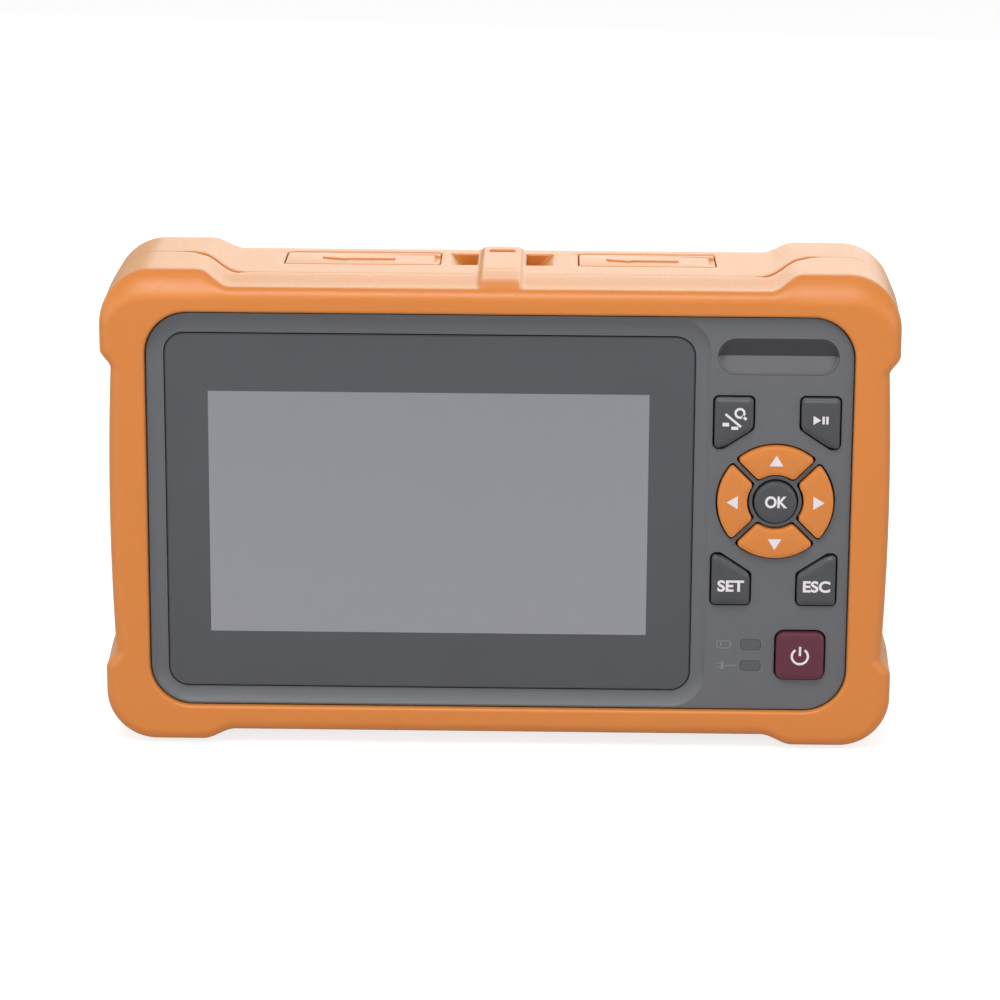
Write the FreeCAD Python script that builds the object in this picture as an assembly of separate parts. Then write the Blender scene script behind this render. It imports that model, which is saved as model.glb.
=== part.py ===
"""Handheld optical time domain reflectometer, standing upright on its lower bumpers.

Millimetres.  +X is to the viewer's right, +Y runs from the front face to the back, +Z is up.
The origin is on the ground, under the middle of the case.
Each sub-part is written to parts/NAME.step.
"""
import FreeCAD
import Part
import math
import os

V = FreeCAD.Vector

# ---------------------------------------------------------------- driving dimensions
# rubber boot
case_w = 167.2            # across the straight sides, at the front rim
case_h = 99.3             # between the straight top and bottom, at the front rim
case_t = 45.0             # front to back
draft = 0.8               # the boot widens by this from the front rim to the parting line
parting_depth = 14.0      # parting line of the boot, behind the front rim
bumper = 2.3              # corner bumpers stand out by this
bumper_run_top = 20.2     # length of a bumper along the top, from the straight side
bumper_run_side = 14.8    # length of a bumper down the side, from the straight top
ramp_run_top = 4.3        # sloping end of a bumper on the top
ramp_run_side = 2.5       # sloping end of a bumper on the side
ramp_r_top = 8.0
ramp_r_side = 3.5
side_crown = 0.85         # the sides bow out by this between the bumpers
crown_blend = 0.93        # radius of the bow, as a share of the full arc's radius
corner_r = 11.0
boot_wall = 3.0           # rubber over the straight sides, at the front rim
front_round = 2.6
back_round = 4.2
lip_t = 2.7               # lips that hold the case in, front and back
lip_round = 0.7
lip_w = 7.45              # width of the lips at the sides, at the front rim
lip_h = 5.55              # width of the lips at the top and bottom
opening_r = 9.4
opening_rise = 0.25       # the opening sits this far above the middle of the case
rubber_fit = 0.1          # between the rubber and the plastic case

# plastic case
case_wall = 2.2
case_r = 9.0
face_set_back = 1.4       # keypad face, behind the boot's front rim
face_gap = 0.35           # between the keypad face and the boot's lip
front_wall = 3.6          # from the keypad face to the inside
split_y = -4.0            # where the front and back halves of the case meet
gasket_s = 1.2            # section of the seal between the halves
rib_overlap = 0.2         # how far inner walls run into the outer wall

# display
active_w = 95.04
active_h = 53.86
display_drop = 0.25       # display centre, below the middle of the case
window_in = 4.15          # window, inside the left edge of the opening
window_w = 113.9
window_h = 79.0
window_r = 4.2
window_t = 1.2
window_rise = 0.07        # window centre, above the display centre
window_shift = 0.2        # window centre, to the right of the display centre
window_gap = 0.25
adhesive_t = 0.1
dish_depth = 1.3          # the face slopes down by this to the window
dish_right_run = 3.2      # width of the slope to the right of the window
dish_curve = [(0.0, 0.0), (0.33, 0.58), (0.67, 0.9), (1.0, 1.0)]    # share of the way in, share of the depth
dish_r = 7.5
window_proud = 0.4
window_bevel = 0.25
panel_w = 105.5
panel_h = 67.2
panel_t = 2.9
bezel_w = 98.4            # hole in the case behind the window
bezel_h = 57.2
bracket_t = 1.5
bracket_rim = 1.6         # bracket, past the panel all round
bracket_ear = 36.0        # ears, to each side of the display centre
bracket_ear_r = 3.2
bracket_hole_w = 88.0     # opening behind the panel
bracket_hole_h = 50.0
bracket_screw_out = 4.2   # bracket screws, above and below the panel
flex_w = 30.0             # flat cable from the panel
flex_t = 0.3
flex_dx = 8.0
flex_drop = 2.4           # the cable turns this far below the panel

# keypad
keypad_in = 16.4          # centre of the arrow ring, inside the right edge of the opening
keypad_rise = 3.55        # centre of the arrow ring, above the middle of the case
key_proud = 1.3
key_gap = 0.4
key_travel = 0.8
play = 0.1                # behind a key's flange, and left at the end of its travel
key_flange = 0.8          # rim behind the face that keeps a key in
key_flange_t = 0.8
key_edge = 0.7            # rounding of a key's front edge
ring_r = 12.5
ring_inner_r = 6.1
ring_slit = 1.6           # between neighbouring arrow keys
ring_corner_r = 0.8
ok_r = 4.6
corner_key_w = 8.3
corner_key_h = 11.2
corner_key_dx = 9.3       # corner keys, to each side of the arrow ring's centre
corner_key_dz = 17.5
corner_key_cut_x = 6.6    # sloping cut on the corner next to the ring
corner_key_cut_z = 4.3
corner_key_r = 0.9
power_w = 10.45
power_h = 10.65
power_r = 1.8
power_dx = 6.15
power_dz = -34.6
light_w = 4.4
light_h = 2.4
light_r = 0.9
light_fit = 0.1
light_dx = -4.6
light_dz = -34.8          # middle of the two lamp windows
light_pitch = 4.8
badge_w = 26.0
badge_h = 8.0
badge_dz = 31.93
badge_t = 1.9
badge_dip = 1.2           # depth of the crease along the badge
mat_t = 1.0
mat_foot = 1.1
stem_w = 2.6
stem_gap = 0.4
dome_r = 2.1
dome_t = 0.6
key_board_t = 1.6
key_board_left = 16.3     # edges of the keypad board, from the arrow ring's centre
key_board_right = 16.8
key_board_high = 26.0
key_board_low = 39.2      # lower edge of the keypad board, below the middle of the case
key_board_screw_in = 2.5  # lower screws, inside the keypad board's corners
key_board_screw_up = 3.0  # upper screw, above the middle of the upper corner keys
lamp_w = 1.6
lamp_h = 0.8
lamp_t = 0.6

# top: port covers, strap bridge
cover_y0 = 1.0            # port covers, front and back edge
cover_y1 = 14.5
cover_t = 1.8
cover_r = 1.2
cover_gap = 0.2
left_cover = (-47.75, -13.45)
right_cover = (16.75, 47.05)
cover_ledge = 1.5         # the cover's plate rests on this rim of rubber
plug_depth = 2.6
plug_wall = 1.2
plug_gap = 0.4
arrow_t = 0.3
arrow_l = 16.0
arrow_head_l = 5.5
arrow_head_w = 4.0
arrow_shaft_w = 2.2
arrow_shift = 1.0         # arrow, to the left of the cover's middle
scoop_r = 1.6             # finger notch at the free end of a cover
scoop_w = 7.0
bridge_x = 0.0
bridge_w = 9.0
bridge_rise = 1.25
bridge_front = 0.9        # foot of the bridge's front slope, behind the front rim
bridge_front_run = 3.5
bridge_front_drop = 1.9   # top of the bridge's upright front, below the top of the rubber
bridge_back = 1.6
bridge_back_run = 3.9
bridge_back_drop = 2.6
bridge_round = 2.5        # across its ends
bridge_side_round = 0.8
bridge_slot_w = 5.6
bridge_slot_y = (10.5, 12.9)
bridge_slot_depth = 0.7
strap_mouth = 6.0         # each mouth of the strap passage, along X, at the top of the rubber
strap_mouth_low = 4.3     # the same in the plastic case
strap_mouth_step = 0.9    # from the bridge's side to the mouth
strap_y0 = 1.5
strap_y1 = 14.0
strap_h = 4.6             # height of the passage under the bridge
strap_bar_t = 2.2         # plastic left over the passage
bay_wall = 1.5
bay_floor_t = 1.6         # floor round the electrical sockets

# optical ports
port_z_drop = 11.4        # floor of the port bay, below the top of the case
port_pitch = 16.0
port_first = 9.25         # first port, from the left cover's left edge
barrel_r = 4.0
barrel_bore_r = 3.3
barrel_h = 8.6
port_flange_r = 5.0
port_flange_t = 1.5
post_r = 2.2
ferrule_r = 1.25
ferrule_fit = 0.01
sleeve_h = 7.0
sleeve_drop = 0.6         # top of the sleeve, below the mouth of the barrel
keyway_w = 2.1
keyway_h = 3.0
tail_r = 3.3              # end of the port that reaches through the bay's floor

# electrical sockets
socket_t = 0.4
host_w = 13.2
host_h = 5.8
charge_w = 9.0
charge_h = 3.3
socket_l = 11.0
socket_floor_t = 1.2
tongue_in = 1.4           # tongue, inside the sides of a socket
tongue_drop = 1.0
tongue_thickness = (1.8, 0.7)
host_dx = -5.6            # sockets, from the middle of the right cover
charge_dx = 7.6
socket_hole_fit = 0.1
port_board_h = 17.0
port_board_drop = 2.5     # top of the port board, below the mouths of the sockets
port_board_y = -6.2       # front of the port board, from the middle of the ports
socket_drop = 6.5         # mouths of the sockets, below the top of the case

# back: battery, stand
cell_r = 9.2
cell_l = 65.0
battery_w = 74.0
battery_h = 39.0
battery_dz = -4.5
battery_floor_y = -0.9
pocket_wall = 1.6
back_wall = 3.3
door_w = 82.0
door_h = 50.5
door_dz = -2.75
door_t = 2.2
door_screw_l = 5.0        # boss and screw behind the door
door_gap = 0.15
door_r = 3.0
door_rib_h = 0.8
door_rib_t = 1.2
door_screw_dx = 28.0
door_screw_up = 4.6       # door screws, above the battery
door_boss_r = 3.4
door_grip_in = 9.0        # grip of the door, below its upper edge
door_grip_w = 24.0
plate_seat_w = 46.0       # bare seat for a type plate
plate_seat_h = 22.0
plate_seat_t = 0.3
plate_seat_up = 6.0       # its lower edge, above the door's
groove_w = 1.2            # grip grooves of the door and the stand
groove_pitch = 2.3
groove_t = 0.5
tab_dx = 22.0             # tabs on the lower edge of the door
tab_w = 8.0
tab_l = 1.0
tab_in = 0.4              # tab, behind the door's inner face
tab_skin = 0.9            # tab, below the door's outer face
tab_fit = 0.2
contact_pitch = 9.0
contact_w = 3.0
contact_y = 6.0           # contact strips, above the floor of the battery pocket
stand_leg_in = 45.5       # inner side of each leg, from the middle
stand_leg_w = 9.0
stand_t = 4.0
stand_bar_h = 8.0
stand_foot_dz = -41.0     # lower edge of the stand, from the middle of the case
stand_axis_dz = 24.0
stand_gap = 0.4
stand_r = 9.0
stand_inner_r = 2.5
stand_round = 0.6
stand_play = 0.2          # stand, behind the back face
stand_grip_w = 20.0
stand_relief_in = 6.0     # hollow on the hidden side of the crossbar
stand_relief_h = 4.6
stand_relief_t = 1.6
stand_boss_low = 4.5      # bosses round the stand's pins, below and above the axis
stand_boss_high = 5.0
nail_w = 20.0             # finger recess over the crossbar
nail_h = 4.2
nail_up = 1.4
nail_depth = 2.0
pin_r = 1.25
pin_fit = 0.05
pin_grip = 3.0            # how far a stand pin goes into the case on each side

# boards and optics
main_board_w = 110.0
main_board_clear = 3.45   # main board, below and above, to the inside of the case
main_board_x = -11.0
main_board_y = -9.6
main_board_screw_in_x = 6.0
main_board_screw_in_z = 2.4
board_t = 1.6
module_l = 58.0
module_h = 15.0
module_t = 12.5
module_x = -37.0
module_y = -9.0           # front of the module, from the middle of the ports
module_z_gap = 1.4
module_round = 1.2
module_lid_in = 4.0
module_lid_t = 0.6
standoff_r = 2.2
standoff_in_x = 6.0
standoff_in_z = 3.5
spool_r = 15.5
spool_hub_r = 9.0
spool_t = 9.0
spool_rim_t = 1.0
spool_wall = 1.5
spool_spoke_w = 2.4
spool_lift = 1.0          # posts under the spool
spool_post_r = 0.7
spool_x = -59.5
spool_dz = -8.0
winding_drop = 1.5        # winding, inside the spool's rims
buzzer_r = 6.0
buzzer_t = 4.5
buzzer_dx = 44.0
buzzer_dz = -28.0

# screws
screw_r = 1.25
screw_head_r = 2.2
screw_head_t = 1.4
small_screw_r = 1.0
small_head_r = 1.9
small_head_t = 1.2
case_head_t = 1.8
screw_end_gap = 0.3       # left under the tip of a screw
screw_fit = 0.2           # round a screw that passes through
recess_share = 0.45       # recess in a screw head, as a share of its radius
case_boss_l = 7.0         # screw bosses in the front half
case_boss_r = 4.6
case_screw_in = 0.72      # case screws, inside the inner corner, as a share of its radius
board_post_r = 2.8
key_board_post_r = 2.0

# ---------------------------------------------------------------- derived positions
front_y = -case_t / 2
back_y = case_t / 2
mid_z = case_h / 2 + draft + bumper
parting_y = front_y + parting_depth
body_w = case_w - 2 * boot_wall
body_h = case_h - 2 * boot_wall
body_top = mid_z + body_h / 2
boot_top = mid_z + case_h / 2 + draft
face_y = front_y + face_set_back
rim_front_y = front_y + lip_t
rim_back_y = back_y - lip_t
back_face_y = back_y - face_set_back
inner_front_y = face_y + front_wall
inner_back_y = back_face_y - back_wall
opening_z = mid_z + opening_rise
display_z = mid_z - display_drop
opening_w = case_w - 2 * lip_w
opening_h = case_h - 2 * lip_h
window_x = -opening_w / 2 + window_in + window_w / 2
display_x = window_x - window_shift
keypad_x = opening_w / 2 - keypad_in
window_z = display_z + window_rise
dish_y = face_y + dish_depth
ledge_y = dish_y + window_t + adhesive_t
panel_y = inner_front_y + adhesive_t
pad_z = mid_z + keypad_rise
key_front_y = face_y - key_proud
key_wall_y = face_y + case_wall
flange_y = key_wall_y + play
ring_flange = ring_slit / 2 - 0.15
mat_y = flange_y + key_flange_t + key_travel + play
key_board_y = mat_y + mat_t + mat_foot
inner_w = body_w - 2 * case_wall
inner_h = body_h - 2 * case_wall
inner_r = case_r - case_wall
port_floor_z = body_top - port_z_drop
port_y = (cover_y0 + cover_y1) / 2
battery_z = mid_z + battery_dz
stand_z = mid_z + stand_axis_dz
stand_y = back_face_y - stand_t / 2 - stand_play
stand_leg_x = stand_leg_in + stand_leg_w / 2
foot_z = mid_z + stand_foot_dz
dish_left = -opening_w / 2 + 2 * face_gap
dish_right = window_x + window_w / 2 + window_gap + dish_right_run
socket_z = body_top - socket_drop
main_board_h = inner_h - 2 * main_board_clear
door_z = mid_z + door_dz
door_y = back_face_y - door_t
pocket_y = stand_y - stand_t / 2 - stand_gap
spool_z = mid_z + spool_dz
board_back_y = main_board_y + board_t


# ---------------------------------------------------------------- outlines and solids
def rounded_outline(points, radii, y):
    """Closed wire at depth y through (x, z) corners, each rounded by its radius."""
    count = len(points)
    if not isinstance(radii, (list, tuple)):
        radii = [radii] * count
    arcs = []
    for i, (x, z) in enumerate(points):
        corner = V(x, y, z)
        before = (V(points[i - 1][0], y, points[i - 1][1]) - corner).normalize()
        after = (V(points[(i + 1) % count][0], y, points[(i + 1) % count][1]) - corner).normalize()
        if radii[i] <= 0:
            arcs.append((corner, None, corner))
            continue
        half = before.getAngle(after) / 2
        reach = radii[i] / math.tan(half)
        middle = (before + after).normalize() * (radii[i] / math.sin(half) - radii[i])
        arcs.append((corner + before * reach, corner + middle, corner + after * reach))
    edges = []
    for i, (start, middle, end) in enumerate(arcs):
        if middle is not None:
            edges.append(Part.Arc(start, middle, end).toShape())
        following = arcs[(i + 1) % count][0]
        if (following - end).Length > 1e-6:
            edges.append(Part.makeLine(end, following))
    return Part.Wire(edges)


def rectangle(x, z, w, h):
    """Corners of a rectangle centred on (x, z)."""
    return [(x - w / 2, z - h / 2), (x + w / 2, z - h / 2), (x + w / 2, z + h / 2), (x - w / 2, z + h / 2)]


def slab(points, radii, y0, y1):
    """Solid from an outline in XZ, between two depths."""
    return Part.Face(rounded_outline(points, radii, y0)).extrude(V(0, y1 - y0, 0))


def plate(x, z, w, h, r, y0, y1):
    """Rounded rectangular plate centred on (x, z), between two depths."""
    return slab(rectangle(x, z, w, h), r, y0, y1)


def block(x0, x1, y0, y1, z0, z1):
    """Plain box between two corners."""
    return Part.makeBox(x1 - x0, y1 - y0, z1 - z0, V(x0, y0, z0))


def upright(x0, x1, y0, y1, r, z0, z1):
    """Block between two heights with its four upright edges rounded."""
    box = block(x0, x1, y0, y1, z0, z1)
    return box.makeFillet(r, [e for e in box.Edges if abs(e.Vertexes[0].Z - e.Vertexes[1].Z) > 1e-6])


def rod(x, z, r, y0, y1):
    """Round bar along Y."""
    return Part.makeCylinder(r, y1 - y0, V(x, y0, z), V(0, 1, 0))


def post(x, y, r, z0, z1):
    """Round bar along Z."""
    return Part.makeCylinder(r, z1 - z0, V(x, y, z0), V(0, 0, 1))


def edges_at(shape, y, keep=lambda e: True):
    """Edges of a shape that lie wholly in the plane at depth y."""
    return [e for e in shape.Edges
            if abs(e.BoundBox.YMin - y) < 1e-4 and abs(e.BoundBox.YMax - y) < 1e-4 and keep(e)]


def joined(shapes):
    """All the shapes fused, with seams between level faces removed."""
    return shapes[0].multiFuse(shapes[1:]).removeSplitter() if len(shapes) > 1 else shapes[0]


def screw(x, z, y_head, y_tip, r=screw_r, head_r=screw_head_r, head_t=screw_head_t):
    """Pan-head screw with its head at y_head, pointing along Y to y_tip."""
    way = 1 if y_tip > y_head else -1
    axis = V(0, way, 0)
    head = Part.makeCylinder(head_r, head_t, V(x, y_head, z), axis)
    shank = Part.makeCylinder(r, abs(y_tip - y_head), V(x, y_head, z), axis)
    recess = Part.makeCylinder(head_r * recess_share, head_t / 2, V(x, y_head, z), axis)
    return head.fuse(shank).cut(recess)


# ---------------------------------------------------------------- boot
def boot_outline(outset, y):
    """Outer line of the boot at depth y: straight top, bowed sides, a bumper round each corner."""
    half_w = case_w / 2 + outset
    half_h = case_h / 2 + outset
    head_x = half_w - bumper_run_top
    foot_x = head_x - ramp_run_top
    head_z = half_h - bumper_run_side
    foot_z2 = head_z - ramp_run_side
    crown_r = foot_z2 ** 2 / (2 * side_crown) * crown_blend
    quarter = [(half_w, foot_z2, ramp_r_side), (half_w + bumper, head_z, ramp_r_side),
               (half_w + bumper, half_h + bumper, corner_r), (head_x, half_h + bumper, ramp_r_top),
               (foot_x, half_h, ramp_r_top)]
    right = [(x, -z, r) for x, z, r in reversed(quarter)]
    right += [(half_w + 2 * side_crown, 0, crown_r)] + quarter
    corners = right + [(-x, -z, r) for x, z, r in right]
    return rounded_outline([(x, mid_z + z) for x, z, r in corners], [r for x, z, r in corners], y)


def cover_pocket(span):
    """What a port cover needs cut from the boot: a seat for its plate and a window under it."""
    x0, x1 = span
    seat = upright(x0, x1, cover_y0, cover_y1, cover_r, boot_top - cover_t, boot_top + bumper)
    window = upright(x0 + cover_ledge, x1 - cover_ledge, cover_y0 + cover_ledge, cover_y1 - cover_ledge,
                     cover_r / 2, body_top - 1, boot_top)
    return seat.fuse(window)


def strap_mouth_cut(side):
    """One mouth of the strap passage through the rubber: upright beside the bridge, sloping outside."""
    near = bridge_x + side * (bridge_w / 2 + strap_mouth_step)
    low = near + side * strap_mouth_low
    far = near + side * strap_mouth
    below, above = body_top - 1, boot_top + bumper
    corners = [(near, below), (low, below), (low, body_top), (far, boot_top), (far, above), (near, above)]
    return slab(corners, 0, strap_y0, strap_y1)


def bridge_solid():
    """Raised rubber strip over the top from front to back, sloping down at its front and back ends."""
    low, top = body_top + 0.5, boot_top + bridge_rise
    y0, y1 = front_y + bridge_front, back_y - bridge_back
    profile = [V(0, y0, low), V(0, y0, boot_top - bridge_front_drop), V(0, y0 + bridge_front_run, top),
               V(0, y1 - bridge_back_run, top), V(0, y1, boot_top - bridge_back_drop), V(0, y1, low)]
    strip = Part.Face(Part.makePolygon(profile + profile[:1])).extrude(V(bridge_w, 0, 0))
    strip.translate(V(bridge_x - bridge_w / 2, 0, 0))
    across = [e for e in strip.Edges if e.BoundBox.ZMin > top - 0.01 and e.BoundBox.XLength > 1]
    strip = strip.makeFillet(bridge_round, across)
    shoulder = boot_top - bridge_back_drop - 0.1
    along = [e for e in strip.Edges if e.BoundBox.ZMin > shoulder and e.BoundBox.XLength < 1e-3]
    return strip.makeFillet(bridge_side_round, along)


def in_opening(edge):
    """Whether an edge is part of the rim of the front or back opening."""
    box = edge.BoundBox
    return (max(abs(box.XMin), abs(box.XMax)) < opening_w / 2 + 0.1
            and max(abs(box.ZMin - opening_z), abs(box.ZMax - opening_z)) < opening_h / 2 + 0.1)


def protective_boot():
    """Rubber boot: a sleeve with a lip round each opening, bumpers, cover seats and the bridge."""
    taper = Part.makeLoft([boot_outline(0, front_y), boot_outline(draft, parting_y)], True, True)
    sleeve = Part.Face(boot_outline(draft, parting_y)).extrude(V(0, back_y - parting_y, 0))
    taper = taper.makeFillet(front_round, edges_at(taper, front_y))
    sleeve = sleeve.makeFillet(back_round, edges_at(sleeve, back_y))
    body = taper.fuse(sleeve).fuse(bridge_solid())
    core = plate(0, mid_z, body_w + 2 * rubber_fit, body_h + 2 * rubber_fit, case_r + rubber_fit,
                 rim_front_y - rubber_fit, rim_back_y + rubber_fit)
    for y0, y1 in ((front_y, rim_front_y), (rim_back_y, back_y)):
        core = core.fuse(plate(0, opening_z, opening_w, opening_h, opening_r, y0, y1))
    body = body.cut(core)
    body = body.makeFillet(lip_round, [e for y in (front_y, back_y) for e in edges_at(body, y, in_opening)])
    for span in (left_cover, right_cover):
        body = body.cut(cover_pocket(span))
    for side in (-1, 1):
        body = body.cut(strap_mouth_cut(side))
    top = boot_top + bridge_rise
    return body.cut(upright(bridge_x - bridge_slot_w / 2, bridge_x + bridge_slot_w / 2, *bridge_slot_y, 0.8,
                            top - bridge_slot_depth, top + 1))


# ---------------------------------------------------------------- keys
def ring_key_outline(turn, grow, y):
    """One arrow key of the ring, turned about the ring's centre; grow enlarges it all round."""
    outer, inner = ring_r + grow, ring_inner_r - grow
    slit = ring_slit / 2 - grow

    def at(radius, angle):
        return V(keypad_x + radius * math.sin(angle), y, pad_z + radius * math.cos(angle))

    corners = []
    for radius, side in ((inner, -1), (outer, -1), (outer, 1), (inner, 1)):
        lean = math.asin(slit / radius)
        corners.append(at(radius, turn + side * (math.pi / 4 - lean)))
    outer_arc = Part.Arc(corners[1], at(outer, turn), corners[2]).toShape()
    inner_arc = Part.Arc(corners[3], at(inner, turn), corners[0]).toShape()
    return Part.Wire([Part.makeLine(corners[0], corners[1]), outer_arc,
                      Part.makeLine(corners[2], corners[3]), inner_arc])


def corner_key_points(side_x, side_z, grow):
    """Corner key: a rectangle with the corner next to the ring cut off at a slope."""
    x = keypad_x + side_x * corner_key_dx
    z = pad_z + side_z * corner_key_dz
    half_w, half_h = corner_key_w / 2 + grow, corner_key_h / 2 + grow
    slope = grow * 0.5
    local = [(half_w, half_h), (-half_w, half_h), (-half_w, -half_h + corner_key_cut_z + slope),
             (-half_w + corner_key_cut_x + slope, -half_h), (half_w, -half_h)]
    return [(x + side_x * a, z + side_z * b) for a, b in local]


def key_outline(name, grow, y):
    """Outline of a named key at depth y, enlarged all round by grow."""
    if name in ring_turns:
        return ring_key_outline(ring_turns[name], grow, y)
    if name in corner_sides:
        side_x, side_z = corner_sides[name]
        return rounded_outline(corner_key_points(side_x, side_z, grow), corner_key_r + grow, y)
    if name == "key_ok":
        return Part.Wire([Part.makeCircle(ok_r + grow, V(keypad_x, y, pad_z), V(0, 1, 0))])
    corners = rectangle(keypad_x + power_dx, pad_z + power_dz, power_w + 2 * grow, power_h + 2 * grow)
    return rounded_outline(corners, power_r + grow, y)


ring_turns = {"key_up": 0.0, "key_right": math.pi / 2, "key_down": math.pi, "key_left": -math.pi / 2}
corner_sides = {"key_zoom": (-1, 1), "key_run": (1, 1), "key_set": (-1, -1), "key_esc": (1, -1)}
key_names = list(ring_turns) + list(corner_sides) + ["key_ok", "key_power"]


def key_solid(name, grow, y0, y1):
    """Solid on a key's outline between two depths."""
    solid = Part.Face(key_outline(name, grow, y0)).extrude(V(0, y1 - y0, 0))
    if name in ring_turns:
        solid = solid.makeFillet(ring_corner_r, [e for e in solid.Edges if e.BoundBox.YLength > 1e-3
                                                 and e.BoundBox.XLength < 1e-3])
    return solid


def key_centre(name):
    """(x, z) over the switch under a key."""
    if name in ring_turns:
        radius = (ring_r + ring_inner_r) / 2
        return (keypad_x + radius * math.sin(ring_turns[name]), pad_z + radius * math.cos(ring_turns[name]))
    if name in corner_sides:
        side_x, side_z = corner_sides[name]
        return (keypad_x + side_x * corner_key_dx, pad_z + side_z * corner_key_dz)
    if name == "key_ok":
        return (keypad_x, pad_z)
    return (keypad_x + power_dx, pad_z + power_dz)


def key(name):
    """Key cap: rounded front edge, a flange behind the face, and a stem to its switch."""
    cap = key_solid(name, 0, key_front_y, flange_y)
    cap = cap.makeFillet(key_edge, edges_at(cap, key_front_y))
    in_ring = name in ring_turns or name == "key_ok"
    flange = key_solid(name, ring_flange if in_ring else key_flange, flange_y, flange_y + key_flange_t)
    x, z = key_centre(name)
    stem = rod(x, z, stem_w / 2, flange_y + key_flange_t, key_board_y - dome_t - key_travel - play)
    return joined([cap, flange, stem])


# ---------------------------------------------------------------- front half of the case
def light_places():
    """(x, z) of the two lamp windows."""
    x = keypad_x + light_dx
    return [(x, pad_z + light_dz + light_pitch / 2), (x, pad_z + light_dz - light_pitch / 2)]


def badge_place():
    """(x, z) of the badge."""
    return keypad_x, pad_z + badge_dz


def bracket_holes():
    """(x, z) of the four display bracket screws."""
    reach = panel_h / 2 + bracket_screw_out
    return [(display_x + sx * bracket_ear, display_z + sz * reach) for sx in (-1, 1) for sz in (-1, 1)]


def key_board_box():
    """Left, right, low and high edge of the keypad board."""
    return (keypad_x - key_board_left, keypad_x + key_board_right, mid_z - key_board_low,
            pad_z + key_board_high)


def key_board_holes():
    """(x, z) of the three keypad board screws."""
    x0, x1, z0, _ = key_board_box()
    inside = key_board_screw_in
    return [(keypad_x, pad_z + corner_key_dz + key_board_screw_up), (x0 + inside, z0 + inside),
            (x1 - inside, z0 + inside)]


def main_board_holes():
    """(x, z) of the four main board screws."""
    dx = main_board_w / 2 - main_board_screw_in_x
    dz = main_board_h / 2 - main_board_screw_in_z
    return [(main_board_x + sx * dx, mid_z + sz * dz) for sx in (-1, 1) for sz in (-1, 1)]


def case_screw_holes():
    """(x, z) of the four screws that hold the halves of the case together."""
    dx = inner_w / 2 - inner_r * case_screw_in
    dz = inner_h / 2 - inner_r * case_screw_in
    return [(sx * dx, mid_z + sz * dz) for sx in (-1, 1) for sz in (-1, 1)]


def gasket_ring():
    """Seal between the halves: a ring half way through the case wall."""
    y0, y1 = split_y - gasket_s / 2, split_y + gasket_s / 2
    w, h, r = body_w - case_wall, body_h - case_wall, case_r - case_wall / 2
    outer = plate(0, mid_z, w + gasket_s, h + gasket_s, r + gasket_s / 2, y0, y1)
    return outer.cut(plate(0, mid_z, w - gasket_s, h - gasket_s, r - gasket_s / 2, y0, y1))


def dish_cut():
    """Hollow from the face down to the window, steep at its rim and nearly level at the window."""
    low = opening_z - opening_h / 2 + 2 * face_gap
    high = opening_z + opening_h / 2 - 2 * face_gap
    rim = [(dish_left, low), (dish_right, low), (dish_right, high), (dish_left, high)]
    rim_r = opening_r - 2 * face_gap
    floor = rectangle(window_x, window_z, window_w + 2 * window_gap, window_h + 2 * window_gap)
    floor_r = window_r + window_gap
    sections = []
    for inward, depth in dish_curve:
        corners = [(a + (c - a) * inward, b + (d - b) * inward) for (a, b), (c, d) in zip(rim, floor)]
        radii = [r + (floor_r - r) * inward for r in (rim_r, dish_r, dish_r, rim_r)]
        sections.append(rounded_outline(corners, radii, face_y + dish_depth * depth))
    return Part.makeLoft(sections, True, False)


def front_housing_posts():
    """Solid posts inside the front half, one for each screw that goes into it."""
    posts = [rod(x, z, case_boss_r, split_y - case_boss_l, split_y) for x, z in case_screw_holes()]
    posts += [rod(x, z, board_post_r, inner_front_y, panel_y + panel_t) for x, z in bracket_holes()]
    posts += [rod(x, z, board_post_r, inner_front_y, main_board_y) for x, z in main_board_holes()]
    posts += [rod(x, z, key_board_post_r, key_wall_y - 0.5, key_board_y) for x, z in key_board_holes()]
    bulk = plate(0, mid_z, inner_w + case_wall, inner_h + case_wall, inner_r + case_wall / 2,
                 key_wall_y - 0.5, split_y)
    return [post.common(bulk) for post in posts]


def front_housing():
    """Front half of the case: face, window seat, keypad holes, screw posts."""
    shell = plate(0, mid_z, body_w, body_h, case_r, rim_front_y, split_y)
    face = plate(0, opening_z, opening_w - 2 * face_gap, opening_h - 2 * face_gap, opening_r - face_gap,
                 face_y, rim_front_y)
    x0, x1, z0, z1 = key_board_box()
    room = plate((x0 + x1) / 2, (z0 + z1) / 2, x1 - x0 + 0.6, z1 - z0 + 0.6, 2.0, key_wall_y, inner_front_y)
    body = shell.fuse(face).cut(plate(0, mid_z, inner_w, inner_h, inner_r, inner_front_y, split_y))
    body = joined([body.cut(dish_cut()).cut(room)] + front_housing_posts())
    seat = plate(window_x, window_z, window_w + 2 * window_gap, window_h + 2 * window_gap,
                 window_r + window_gap, dish_y - 0.5, ledge_y)
    hole = plate(display_x, display_z, bezel_w, bezel_h, 1.0, ledge_y, inner_front_y)
    body = body.cut(seat.fuse(hole))
    cuts = [key_solid(name, key_gap, face_y, key_wall_y) for name in key_names]
    cuts += [plate(x, z, light_w + light_fit, light_h + light_fit, light_r, face_y, key_wall_y)
             for x, z in light_places()]
    bx, bz = badge_place()
    cuts.append(plate(bx, bz, badge_w, badge_h, badge_h / 2 - 0.01, face_y, face_y + badge_t))
    cuts += [rod(x, z, screw_r, split_y - case_boss_l + 1.0, split_y) for x, z in case_screw_holes()]
    cuts += [rod(x, z, small_screw_r, inner_front_y + 0.4, panel_y + panel_t) for x, z in bracket_holes()]
    cuts += [rod(x, z, screw_r, main_board_y - 6.0, main_board_y) for x, z in main_board_holes()]
    cuts += [rod(x, z, small_screw_r, key_wall_y + 0.3, key_board_y) for x, z in key_board_holes()]
    return body.cut(joined(cuts)).cut(gasket_ring())


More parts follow.
